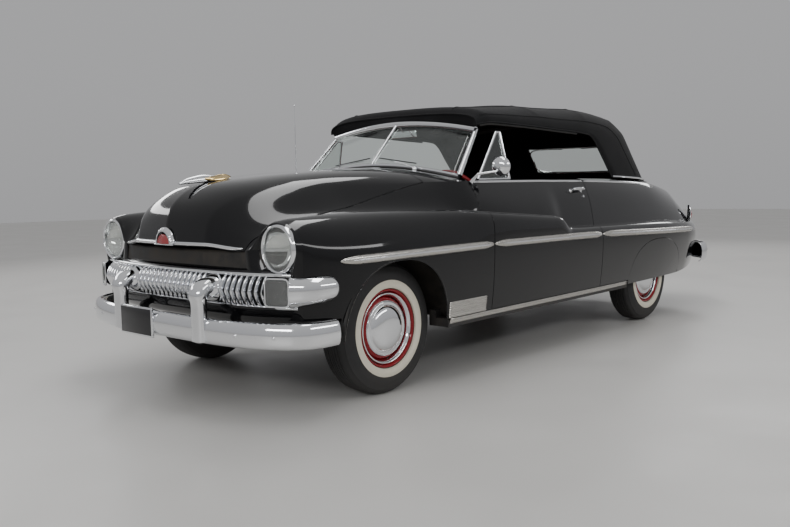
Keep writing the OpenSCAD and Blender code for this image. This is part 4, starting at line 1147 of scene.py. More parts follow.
    def emblem(self):
        """Plain half-round badge with ribs and a red centre."""
        def at_front(z):
            u = search(-2365.0, -2250.0, lambda u: body(round(u, 3), 0.0).z < z, 30)
            return body(round(u, 3), 0.0)
        base = at_front(0.868)
        shell = []
        for i in range(33):
            a = pi * i / 32
            row = []
            for j in range(17):
                t = j / 16
                r = 0.078 * (1 - 0.25 * t)
                rib = 0.005 * abs(sin(8 * a)) * sin(pi * t)
                x = (r + rib) * cos(a)
                z = (r * 1.12 + rib) * sin(a) - 0.024
                row.append(Vector((x, base.y - 0.004 - 0.021 * sin(pi * t / 2) + 0.02 * abs(x) * 2, 0.842 + z)))
            shell.append(row)
        keep(mapped(33, 17, lambda i, j: shell[i][j], inside=(0, -2.4, 0.83)), "emblem_shell", "hood", "chrome",
             thick=0.003)
        disc = mapped(25, 13, lambda i, j: Vector((
            0.056 * cos(pi * i / 24) * j / 12, base.y - 0.019 - 0.008 * (1 - (j / 12) ** 2),
            0.820 + 0.050 * sin(pi * i / 24) * j / 12)), inside=(0, -2.4, 0.84), weld=1e-6)
        keep(disc, "emblem_centre", "hood", "red_lens", thick=0.001)
        foot = [Vector((x, base.y - 0.018 + 0.5 * x * x, 0.817)) for x in steps(-0.084, 0.084, 20)]
        keep(tube(foot, 0.0045, 10), "emblem_foot", "hood", "chrome")

    def ornament(self):
        """Spear along the hood's centre line with a pair of short fluted wings."""
        ys = steps(-2.445, -2.11, 40)

        def top_of_hood(y):
            u = search(FRONT + 5.0, -1900.0, lambda u: body(round(u, 3), 0.0).y < y, 30)
            return body(round(u, 3), 0.0).z

        def line(y):
            return max(top_of_hood(y), top_of_hood(-2.2) - 0.06 * (-2.2 - y)) + 0.002
        rings = []
        for i, y in enumerate(ys):
            t = i / 40
            w = 0.016 * sin(pi * min(1, 0.12 + t * 0.92)) ** 0.6 + 0.001
            h = (0.034 * (1 - abs(t - 0.42) ** 1.5 * 2.2) * smooth((t + 0.06) / 0.2) * smooth((1.04 - t) / 0.3)
                 + 0.003)
            z = line(y)
            rings.append([Vector((w * cos(a), y, z - 0.004 + (h if sin(a) > 0 else 0.006) * sin(a)))
                          for a in circle(16)])
        keep(closed_loft(rings), "ornament_spear", "hood", "chrome")
        for side, sign in SIDES:
            def wing(i, j):
                t, c = i / 24, j / 10
                y = -2.33 + 0.17 * t
                out = 0.05 * sin(pi * min(1, t * 1.05)) ** 0.7
                z = line(y) + 0.014 + 0.012 * t + 0.0016 * sin(c * 8 * pi) * sin(pi * t)
                return Vector((sign * (0.006 + out * c), y + 0.05 * c, z - 0.016 * c * c))
            keep(mapped(25, 11, wing, inside=(0, -2.2, 0.9)), "ornament_wing_" + side, "hood", "gold",
                 thick=0.002)


def side_s(u, z):
    """Place on the section, below the crown, where the side is at height z in millimetres."""
    return search(3.05, 4.95, lambda s: body(u, s).z > z * MM)


class CONVERTIBLE_OT_mouldings(bpy.types.Operator):
    """Belt and side mouldings, gravel shields and sill mouldings"""
    bl_idname = "convertible.mouldings"
    bl_label = "Mouldings"

    SPEAR = [(-2190, 744), (-1750, 748), (-980, 749), (310, 731), (1300, 700), (1820, 684), (1990, 680)]
    SPANS = (("fender", "body", -2188, -984), ("door", "door", -975, 305), ("quarter", "body", 315, 1990))

    def run(self, name, rides, finish, path, half, proud, cols=9):
        for side, sign in SIDES:
            pts = [Vector((sign * q.x, q.y, q.z)) for q, a in path]
            away = [Vector((sign * a.x, a.y, a.z)) for q, a in path]
            body_name = "door_" + side if rides == "door" else rides
            keep(trim(pts, away, half, proud, cols), "%s_%s" % (name, side), body_name, finish, thick=0.002)

    def execute(self, context):
        for name, rides, a, b in self.SPANS:
            path = []
            for u in steps(a, b, 70):
                s = side_s(u, along(self.SPEAR, u))
                path.append((body(u, s), outward(u, s)))
            self.run("side_moulding_" + name, rides, "stainless", path, 0.024, 0.013)
            raised = [(q + a_ * 0.0125, a_) for q, a_ in path[4:-2]]
            self.run("side_moulding_bead_" + name, rides, "chrome", raised, 0.006, 0.003, 7)
        for name, rides, a, b in (("door", "door", -974, 304), ("quarter", "body", 316, 1240)):
            path = [(body(u, 1.035), outward(u, 1.035)) for u in steps(a, b, 60)]
            self.run("belt_moulding_" + name, rides, "chrome", path, 0.009, 0.007)
        self.sills()
        self.shields()
        self.handles()
        return {"FINISHED"}

    def sills(self):
        """Ribbed bright moulding along each sill."""
        us = steps(-1362, 742, 60)

        def profile(j, n):
            t = j / n
            return 0.006 * sin(pi * t) ** 0.5 + 0.0022 * (0.5 - 0.5 * cos(6 * pi * t))
        for side, sign in SIDES:
            def place(i, j):
                q = body(us[i], 5, 366)
                x = q.x - 0.006 - 0.02 * (j / 24) + profile(j, 24)
                return Vector((sign * x, us[i] * MM, 0.362 - 0.050 * j / 24))
            keep(mapped(61, 25, place, inside=lambda c: Vector((0, c.y, c.z))), "sill_moulding_" + side, "body",
                 "stainless", thick=0.003)

    def shields(self):
        """Stone shields behind the front arches."""
        first, last, top, ribs = -1388, -1040, 0.455, 7
        for side, sign in SIDES:
            def place(i, j):
                u = first + (last - first) * i / 30
                t = j / 60
                low = low_z(u) * MM
                high = max(low + 0.004, top)
                z = low + (high - low) * t
                q = body(u, side_s(u, max(z / MM, low / MM + 0.5)))
                rib = 0.0028 * (0.5 - 0.5 * cos(2 * pi * t * ribs))
                return Vector((sign * (q.x + 0.0015 + rib), q.y, z))
            keep(mapped(31, 61, place, inside=lambda c: Vector((0, c.y, c.z))), "stone_shield_front_" + side,
                 "body", "stainless", thick=0.001)

    def handles(self):
        """Door handles with their locks, and the lid's handle."""
        for side, sign in SIDES:
            def on_door(y, z, out):
                u = y / MM
                s = search(1.05, 1.95, lambda s: body(u, s).z > z)
                q = body(u, s) + outward(u, s) * out
                return Vector((sign * q.x, q.y, q.z))
            bar_line = [on_door(0.235 - 0.15 * t, 1.034, 0.034 - 0.010 * (2 * t - 1) ** 2) for t in steps(0, 1,
                                                                                                          14)]
            keep(tube(bar_line, 0, 14, taper=[0.0085 + 0.003 * sin(pi * t) for t in steps(0, 1, 14)]),
                 "door_handle_" + side, "door_" + side, "chrome")
            for k, y in enumerate((0.228, 0.093)):
                post = [on_door(y, 1.034, o) for o in (-0.002, 0.012, 0.028)]
                keep(tube(post, 0, 14, taper=[0.016, 0.009, 0.008]), "door_handle_post_%s_%d" % (side, k),
                     "door_" + side, "chrome")
            lock = on_door(0.236, 0.992, 0)
            keep(tube([lock, on_door(0.236, 0.992, 0.005)], 0.0095, 20), "door_lock_" + side, "door_" + side,
                 "chrome")
        grip = [Vector((x, 2.557 + 0.018 * sin(pi * (x + 0.09) / 0.18) - 0.35 * x * x, 0.662))
                for x in steps(-0.09, 0.09, 16)]
        keep(tube(grip, 0.009, 12), "lid_handle", "trunk_lid", "chrome")


# ---- Glass and soft top
SCREEN_TOP = Vector((0.618, -0.684, 1.492))


def screen_low(t):
    q = body(round(COWL_BACK - 12 + 26 * (abs(t) - 1), 3), t * 0.885)
    return q + Vector((0, 0, 0.0126))


def screen_high(t):
    return Vector((t * SCREEN_TOP.x, SCREEN_TOP.y - 0.042 * (1 - abs(t)), SCREEN_TOP.z - 0.062 * t * t))


class CONVERTIBLE_OT_windshield(bpy.types.Operator):
    """Windshield, wipers, vent windows and mirrors"""
    bl_idname = "convertible.windshield"
    bl_label = "Windshield"

    def bar(self, points, deep, high):
        """Rounded bright bar along points that run across the car."""
        rings = []
        for q in points:
            rings.append([q + Vector((0, squared(cos(a), 0.6) * deep, squared(sin(a), 0.6) * high))
                          for a in circle(16)])
        return closed_loft(rings)

    def execute(self, context):
        ts = steps(-1, 1, 60)
        keep(self.bar([screen_low(t) for t in ts], 0.011, 0.011), "screen_lower_frame", "body", "chrome",
             replaces=("windshield_frame",))
        keep(self.bar([screen_low(t) - Vector((0, 0.004, 0.011)) for t in ts], 0.017, 0.005), "screen_rubber",
             "body",
             "trim_rubber")
        keep(self.bar([screen_high(t) for t in ts], 0.018, 0.018), "screen_header", "body", "chrome")
        for side, sign in SIDES:
            keep(tube([screen_low(sign), screen_low(sign).lerp(screen_high(sign), 0.5), screen_high(sign)], 0,
                      16,
                      taper=[0.019, 0.016, 0.015]), "screen_pillar_" + side, "body", "chrome")
            def glass(i, j):
                t = sign * (0.018 + (0.962 - 0.018) * j / 24)
                low, high = screen_low(t) + Vector((0, 0, 0.008)), screen_high(t) - Vector((0, 0, 0.014))
                return low.lerp(high, i / 16) - Vector((0, 0.004 * sin(pi * i / 16), 0))
            keep(mapped(17, 25, glass, inside=(0, 0, 1.2)), "screen_glass_" + side, "body", "glass",
                 replaces=("windshield_glass",), thick=0.005)
            self.wiper(side, sign)
            self.vent(side, sign)
        keep(tube([screen_low(0), screen_high(0)], 0.009, 16), "screen_divider", "body", "chrome")
        self.mirrors()
        return {"FINISHED"}

    def wiper(self, side, sign):
        """Arm and rubber blade parked low on the glass."""
        root = body(-1010, 0.5 * sign) + Vector((0, 0, 0.006))
        tip = screen_low(0.42 * sign).lerp(screen_high(0.42 * sign),
                                           0.2) + Vector((sign * -0.17, -0.016, -0.01))
        keep(placed(turned(rounded([(0, 0.018), (0.008, 0.016), (0.012, 0.008), (0.014, -0.006)], 3), 24),
                    root, (0, -0.1, 1)), "wiper_pivot_" + side, "body", "chrome")
        keep(tube([root + Vector((0, 0, 0.012)), root.lerp(tip, 0.5) + Vector((0, -0.006, 0.012)), tip], 0, 10,
                  taper=[0.004, 0.003, 0.0025]), "wiper_arm_" + side, "body", "chrome")
        a = screen_low(sign * 0.06).lerp(screen_high(sign * 0.06), 0.17)
        b = screen_low(sign * 0.52).lerp(screen_high(sign * 0.52), 0.1)
        blade = [a.lerp(b, t) + Vector((0, -0.012 - 0.003 * sin(pi * t), 0)) for t in steps(0, 1, 12)]
        keep(tube(blade, 0.0035, 8), "wiper_blade_" + side, "body", "trim_rubber")

    def vent(self, side, sign):
        """Vent window in its bright frame, on the door."""
        a, b = Vector((sign * 0.766, -0.868, 1.121)), Vector((sign * 0.702, -0.590, 1.412))
        c, d = Vector((sign * 0.702, -0.552, 1.412)), Vector((sign * 0.766, -0.536, 1.121))
        for name, p, q, r in (("front", a, b, 0.0085), ("top", b, c, 0.0085), ("rear", c, d, 0.009),
                              ("low", a, d, 0.0085)):
            keep(tube([p, p.lerp(q, 0.5), q], r, 14), "vent_frame_%s_%s" % (name, side), "door_" + side,
                 "chrome",
                 replaces=("vent_window_" + side,))

        def glass(i, j):
            return a.lerp(d, j / 6).lerp(b.lerp(c, j / 6), i / 6)
        keep(mapped(7, 7, glass, inside=(0, -0.7, 1.2)), "vent_glass_" + side, "door_" + side, "glass",
             thick=0.004)

    def mirrors(self):
        """Round door mirror on the driver's side, and the mirror over the screen."""
        base = body(-985 + 14, 1.06) + Vector((0.004, 0, 0))
        head = Vector((0.893, -0.808, 1.196))
        keep(tube([base, base + Vector((0.03, 0.03, 0.05)), head + Vector((-0.01, -0.035, -0.03)),
                   head + Vector((0, -0.012, 0))], 0, 14, taper=[0.012, 0.0075, 0.006, 0.006]),
             "door_mirror_arm", "door_left", "chrome")
        shell = rounded([(0, -0.032), (0.03, -0.028), (0.052, -0.014), (0.058, 0.002), (0.0545, 0.005)], 5)
        keep(placed(turned(shell, 48), head, (-0.25, 1, 0.05)), "door_mirror_shell", "door_left", "chrome")
        keep(placed(turned([(0, 0.0025), (0.0545, 0.0035)], 48), head, (-0.25, 1, 0.05)), "door_mirror_glass",
             "door_left", "mirror")
        stem = screen_high(0) + Vector((0, 0.02, -0.012))
        keep(tube([stem, stem + Vector((0, 0.04, -0.035))], 0.005, 10), "cabin_mirror_stem", "body", "chrome")
        centre = stem + Vector((0, 0.05, -0.05))
        keep(block(centre - Vector((0.11, 0.008, 0.026)), centre + Vector((0.11, 0.008, 0.026)), 0.0075, 4),
             "cabin_mirror", "body", "chrome")


TOP_PROFILE = [(-712, 1546), (-690, 1580), (-600, 1595), (-300, 1622), (100, 1638), (600, 1648), (950, 1640),
               (1230, 1592), (1420, 1505), (1470, 1462), (1600, 1290), (1758, 1080)]
EAVE = [(-712, 640, 1458), (-600, 672, 1474), (-300, 700, 1466), (100, 715, 1450), (520, 722, 1426),
        (590, 724, 1390), (690, 730, 1280), (830, 733, 1122)]
TOP_ROWS = [(0, -712, -712, 3, 3.4), (0.03, -690, -660, 3, 3.2), (0.1, -520, -510, 3, 3),
            (0.3, -60, -60, 3, 2.8),
            (0.5, 600, 380, 3, 2.8), (0.64, 1110, 520, 3.2, 2.7), (0.76, 1420, 590, 3.4, 2.6),
            (0.88, 1580, 690, 3.6, 2.8), (1, 1758, 830, 4, 3)]
BOWS = (0.045, 0.295, 0.515, 0.675)


@lru_cache(None)
def canvas_line(v):
    mid, edge = along(TOP_ROWS, v, 1), along(TOP_ROWS, v, 2)
    return (Vector((0, mid, along(TOP_PROFILE, mid))),
            Vector((along(EAVE, edge, 1), edge, along(EAVE, edge, 2))), along(TOP_ROWS, v, 3), along(TOP_ROWS,
                                                                                                     v, 4))


def canvas(v, a):
    """Point of the soft top: v from the header to the base, a in degrees from the centre to 90 at the edge."""
    c, e, p, q = canvas_line(v)
    n = abs(a)
    full = max(0, cos(radians(n)))
    pull = 0
    for bow in BOWS:
        pull += 5.0 * max(0, 1 - abs(v - bow) / 0.016) ** 1.5
    between = sorted(abs(v - bow) for bow in BOWS)[0]
    sag = -5.0 * smooth(between / 0.09) * (1 if 0.06 < v < 0.66 else 0.4)
    crease = 1.2 * sin(radians(n * 26 + v * 300)) * smooth((v - 0.7) / 0.15) * smooth((96 - n) / 10)
    high = (pull + sag + crease) * smooth((88 - n) / 30) * smooth(v / 0.03)
    return Vector((copysign(e.x * sin(radians(n)) ** (2 / p), a), e.y + (c.y - e.y) * full ** (2 / p),
                   e.z + (c.z - e.z) * full ** (2 / q) + high)) * MM


class CONVERTIBLE_OT_soft_top(bpy.types.Operator):
    """Canvas over its bows, with its seams, bindings and rear window"""
    bl_idname = "convertible.soft_top"
    bl_label = "Soft top"

    def execute(self, context):
        vs = joined(steps(0, 0.1, 12), steps(0.1, 0.76, 84), steps(0.76, 1, 40))
        angles = steps(-89.9, 89.9, 120)
        bm = mapped(len(vs), len(angles), lambda i, j: canvas(vs[i], angles[j]), inside=(0, 0.4, 1.15))
        window = [f for f in bm.faces if self.in_window(f.calc_center_median())]
        bmesh.ops.delete(bm, geom=window, context="FACES")
        area = sum(f.calc_area() for f in bm.faces)
        top = keep(bm, "soft_top_canvas", "body", "canvas", replaces=("soft_top",), thick=0.003)
        round(area / 2.1 * 1.02, 3)
        self.seams(angles)
        self.rear_window()
        self.header()
        return {"FINISHED"}

    def in_window(self, c):
        return c.y > 1.3 and abs(c.x) < 0.41 and 1.17 < c.z < 1.37

    def seams(self, angles):
        """Welted seams, the side bindings and the band along the base."""
        for side, sign in SIDES:
            for k, a in enumerate((33, 74)):
                line = [canvas(v, sign * a) + Vector((0, 0, 0.0015)) for v in steps(0.03, 0.985, 150)]
                keep(tube(line, 0.003, 6), "top_seam_%s_%d" % (side, k), "body", "canvas")
            edge = [canvas(v, sign * 89.9) for v in steps(0.0, 1, 120)]
            keep(tube(edge, 0.0055, 8), "top_binding_" + side, "body", "canvas")
            flap = [canvas(v, sign * 89.9) + Vector((-sign * 0.007, 0, -0.012)) for v in steps(0.02, 0.5, 80)]
            keep(tube(flap, 0.007, 8), "top_side_rail_" + side, "body", "trim_rubber")
        base = [canvas(1, a) for a in steps(-89.9, 89.9, 150)]
        keep(tube([q + Vector((q.x * 0.006, 0.004, 0.004)) for q in base], 0.008, 8), "top_base_band", "body",
             "chrome")
        front = [canvas(0.0, a) for a in angles]
        keep(tube(front, 0.005, 8), "top_front_binding", "body", "canvas")

    def rear_window(self):
        """Flat glass in its bright frame."""
        def surface(x, z):
            return self.at_x(search(0.78, 0.999, lambda v: self.at_x(v, x).z > z, 24), x)
        glass = mapped(9, 21, lambda i, j: surface(-0.424 + 0.848 * j / 20, 1.162 + 0.220 * i / 8)
                       + Vector((0, -0.004, 0)), inside=(0, 0, 1.2))
        keep(glass, "rear_window_glass", "body", "glass", thick=0.004)
        ring = []
        for a in circle(64):
            x, z = 0.416 * squared(cos(a), 0.35), 1.270 + 0.105 * squared(sin(a), 0.35)
            ring.append(surface(x, z) + Vector((0, 0.003, 0)))
        keep(tube(ring + ring[:1], 0.007, 10), "rear_window_frame", "body", "chrome")

    def at_x(self, v, x):
        """Point of the canvas at v, x across the car."""
        q = canvas(v, search(0.0, 89.0, lambda a: canvas(v, a).x < abs(x), 24))
        return Vector((x, q.y, q.z))

    def header(self):
        """Padded header between the screen and the canvas."""
        def place(i, j):
            t = -1 + 2 * i / 80
            low = screen_high(t) + Vector((0, 0.012, 0.015))
            a = degrees(atan2(abs(t) ** 1.5, sqrt(max(0, 1 - abs(t) ** 3))))
            high = canvas(0.0, copysign(min(89.9, a), t)) + Vector((0, 0.006, 0.002))
            return low.lerp(high, j / 4) + Vector((0, -0.007 * sin(pi * j / 4), 0))
        keep(mapped(81, 5, place, inside=(0, 0.2, 1.45)), "top_header_pad", "body", "canvas", thick=0.006)


# ---- Wheels
class CONVERTIBLE_OT_wheels(bpy.types.Operator):
    """Tyres, rims, trim rings and hub caps"""
    bl_idname = "convertible.wheels"
    bl_label = "Wheels"

    def execute(self, context):
        p = settings()
        for corner, x, y in (("front_left", 0.743, -1.75), ("front_right", -0.743, -1.75),
                             ("rear_left", 0.762, 1.247), ("rear_right", -0.762, 1.247)):
            at, way, rides = Vector((x, y, AXLE_Z * MM)), (1 if x > 0 else -1, 0, 0), "wheel_" + corner

            def part(name, profile, finish, sides=96, replaces=(), **how):
                bm = placed(turned(profile, sides), at, way)
                keep(bm, "%s_%s" % (name, corner), rides, finish, replaces=replaces, **how)
            part("tyre_body", self.tyre(), "rubber", 108, ("tyre_" + corner,))
            ri, ro = p.whitewall_inner, p.whitewall_outer
            wall = [(ri, 0.0815), (ri + 0.003, 0.0868)]
            wall += [(ri + 0.003 + (ro - ri - 0.006) * t, 0.0872 + 0.0072 * sin(pi * min(1, 0.1 + t * 0.9)))
                     for t in steps(0, 1, 12)]
            wall += [(ro, 0.0885), (ro + 0.001, 0.085)]
            part("whitewall", wall, "whitewall", 108)
            rim = [(0.206, 0.066), (0.2095, 0.073), (0.208, 0.0795), (0.2035, 0.0815), (0.199, 0.078),
                   (0.1935, 0.068),
                   (0.188, 0.052), (0.184, 0.04), (0.176, 0.036), (0.168, 0.04), (0.16, 0.052), (0.15, 0.060),
                   (0.138, 0.062), (0.12, 0.058), (0.07, 0.05), (0.0305, 0.045), (0.0305, -0.04), (0.06,
                                                                                                   -0.042),
                   (0.1, -0.01), (0.15, 0.02), (0.178, 0.028), (0.180, -0.03), (0.186, -0.064), (0.199, -0.074),
                   (0.208, -0.0745), (0.208, -0.067), (0.195, -0.06), (0.192, 0.0), (0.195, 0.058)]
            part("wheel_disc", rounded(rim + rim[:1], 2), "wheel", 80, ("wheel_" + corner,))
            ring = rounded([(0.188, 0.058), (0.1885, 0.070), (0.1855, 0.0745), (0.180, 0.072), (0.174, 0.063),
                            (0.1705, 0.054), (0.170, 0.048)], 2)
            part("trim_ring", ring, "chrome", 96, thick=0.0015)
            r = p.cap_radius
            cap = rounded([(0, 0.0985), (0.035, 0.0978), (0.07, 0.0945), (0.098, 0.0878), (0.114, 0.0795),
                           (0.121, 0.0715), (0.126, 0.0695), (0.134, 0.0710), (r - 0.005, 0.0690), (r, 0.061),
                           (r - 0.003, 0.054)], 3)
            part("hub_cap", cap, "chrome", 96)
            stem = [Vector(at) + Vector((way[0] * z, 0.175, -0.055)) for z in (0.045, 0.06, 0.078)]
            keep(tube(stem, 0, 10, taper=[0.005, 0.004, 0.003]), "valve_" + corner, rides, "trim_rubber")
            # Dark discs on the wheel disc paint the shade seen through its vent holes; no hole is cut.
            for k in range(8):
                a = 2 * pi * k / 8 + 0.2
                hole = at + Vector((way[0] * 0.0415, 0.1705 * cos(a), 0.1705 * sin(a)))
                keep(placed(turned([(0, 0.0008), (0.008, 0.0006), (0.0085, -0.001)], 16), hole, way),
                     "vent_hole_painted_shade_%s_%d" % (corner, k), rides, "dark")
        return {"FINISHED"}

    def tyre(self):
        """Section with a ribbed tread, round shoulders and moulded rings on its sidewalls."""
        side = [(0.194, 0.058), (0.199, 0.0665), (0.2085, 0.075), (0.216, 0.0835), (0.235, 0.0885),
                (0.262, 0.0925),
                (0.284, 0.0918), (0.302, 0.088), (0.318, 0.0825), (0.3255, 0.0805), (0.3275, 0.0765), (0.336,
                                                                                                       0.0705),
                (0.343, 0.0625)]
        tread = []
        for edge in (0.056, 0.038, 0.020, 0.004):
            high = 0.350 - 0.0035 * (edge / 0.056) ** 2
            tread += [(high - 0.006, edge + 0.0025), (high, edge), (high + 0.0002, max(0, edge - 0.0115)),
                      (high - 0.006, max(0.0, edge - 0.0135))]
        half = [(0.1935, 0.05)] + side + tread[1:-2]
        return half + [(r, -h) for r, h in reversed(half)]


# ---- Cabin
class CONVERTIBLE_OT_seats(bpy.types.Operator):
    """Padded bench seats with sewn channels"""
    bl_idname = "convertible.seats"
    bl_label = "Seats"

    def execute(self, context):
        self.pad("front_seat_cushion", (-0.625, -0.425, 0.50), (0.625, 0.115, 0.672), 0, (0, 0, 0),
                 ("front_seat",))
        self.pad("front_seat_back", (-0.625, 0.0, 0.0), (0.625, 0.125, 0.47), 16, (0, 0.125, 0.575), ())
        self.pad("rear_seat_cushion", (-0.585, 0.68, 0.585), (0.585, 1.15, 0.672), 0, (0, 0, 0), ("rear_seat",))
        self.pad("rear_seat_back", (-0.585, 0.0, 0.0), (0.585, 0.09, 0.36), 14, (0, 1.175, 0.60), ())
        keep(block((-0.56, -0.39, 0.412), (0.56, 0.06, 0.50), 0.012), "front_seat_base", "body", "carpet")
        keep(block((-0.585, 0.67, 0.571), (0.585, 1.24, 0.60), 0.01), "rear_seat_base", "body", "carpet")
        return {"FINISHED"}

    def pad(self, name, low, high, lean, move, nodes):
        """Cushion whose cover is blown out by a cloth simulation, then sewn into channels across it."""
        low, high = Vector(low), Vector(high)
        bm = block(low, high, 0.03, 4)
        bmesh.ops.triangulate(bm, faces=bm.faces)
        mesh = bpy.data.meshes.new(name)
        bm.to_mesh(mesh)
        bm.free()
        cover = bpy.data.objects.new(name + "_cover", mesh)
        bpy.context.scene.collection.objects.link(cover)
        remesh = cover.modifiers.new("Remesh", "REMESH")
        remesh.mode = "VOXEL"
        remesh.voxel_size = 0.016
        mesh = self.baked(cover)
        mesh = self.blown(cover, mesh, 0.02)
        bm = bmesh.new()
        bm.from_mesh(mesh)
        bpy.data.objects.remove(cover)
        bmesh.ops.subdivide_edges(bm, edges=bm.edges, cuts=1, use_grid_fill=True, smooth=0.3)
        self.channels(bm, low, high, lean)
        turn = Matrix.Translation(move) @ Matrix.Rotation(radians(-lean), 4, "X")
        bmesh.ops.transform(bm, matrix=turn, verts=bm.verts)
        piece = keep(bm, name, "body", "leather", replaces=nodes, angle=180)

    def baked(self, source):
        """Mesh of an object with its modifiers applied."""
        graph = bpy.context.evaluated_depsgraph_get()
        return bpy.data.meshes.new_from_object(source.evaluated_get(graph))

    def blown(self, cover, mesh, cap):
        """Swells the cover with the cloth solver, no point moving further than the cap."""
        cover.modifiers.clear()
        cover.data = mesh
        rest = [v.co.copy() for v in mesh.vertices]
        cloth = cover.modifiers.new("Cloth", "CLOTH")
        cloth.settings.use_pressure = True
        cloth.settings.uniform_pressure_force = 4
        cloth.settings.quality = 4
        cloth.settings.effector_weights.gravity = 0
        scene = bpy.context.scene
        for f in range(1, 13):
            scene.frame_set(f)
        swollen = self.baked(cover)
        for v, r in zip(swollen.vertices, rest):
            move = v.co - r
            if move.length > cap:
                v.co = r + move * (cap / move.length)
        scene.frame_set(1)
        return swollen

    def channels(self, bm, low, high, lean):
        """Presses the seams between channels into the seat's face, and a piped seam round its edge."""
        middle = (low + high) / 2
        half = (high - low) / 2
        for v in bm.verts:
            x = (v.co.x - middle.x) / half.x
            if lean:
                face = smooth((middle.y - v.co.y) / half.y * 1.4)
                edge = (v.co.z - middle.z) / half.z
            else:
                face = smooth((v.co.z - middle.z) / half.z * 1.4)
                edge = (v.co.y - middle.y) / half.y
            inside = smooth((0.9 - abs(x)) / 0.06) * smooth((0.84 - abs(edge)) / 0.06)
            pitch = half.x * 2 / 15
            seam = abs(((v.co.x - low.x) / pitch) % 1 - 0.5) * 2
            dent = 0.009 * max(0, seam - 0.72) / 0.28 * inside
            piping = smooth((abs(edge) - 0.78) / 0.06) - smooth((abs(edge) - 0.88) / 0.06)
            border = 0.007 * piping * (abs(x) < 0.94)
            push = (dent + border) * face
            if lean:
                v.co.y += push
            else:
                v.co.z -= push


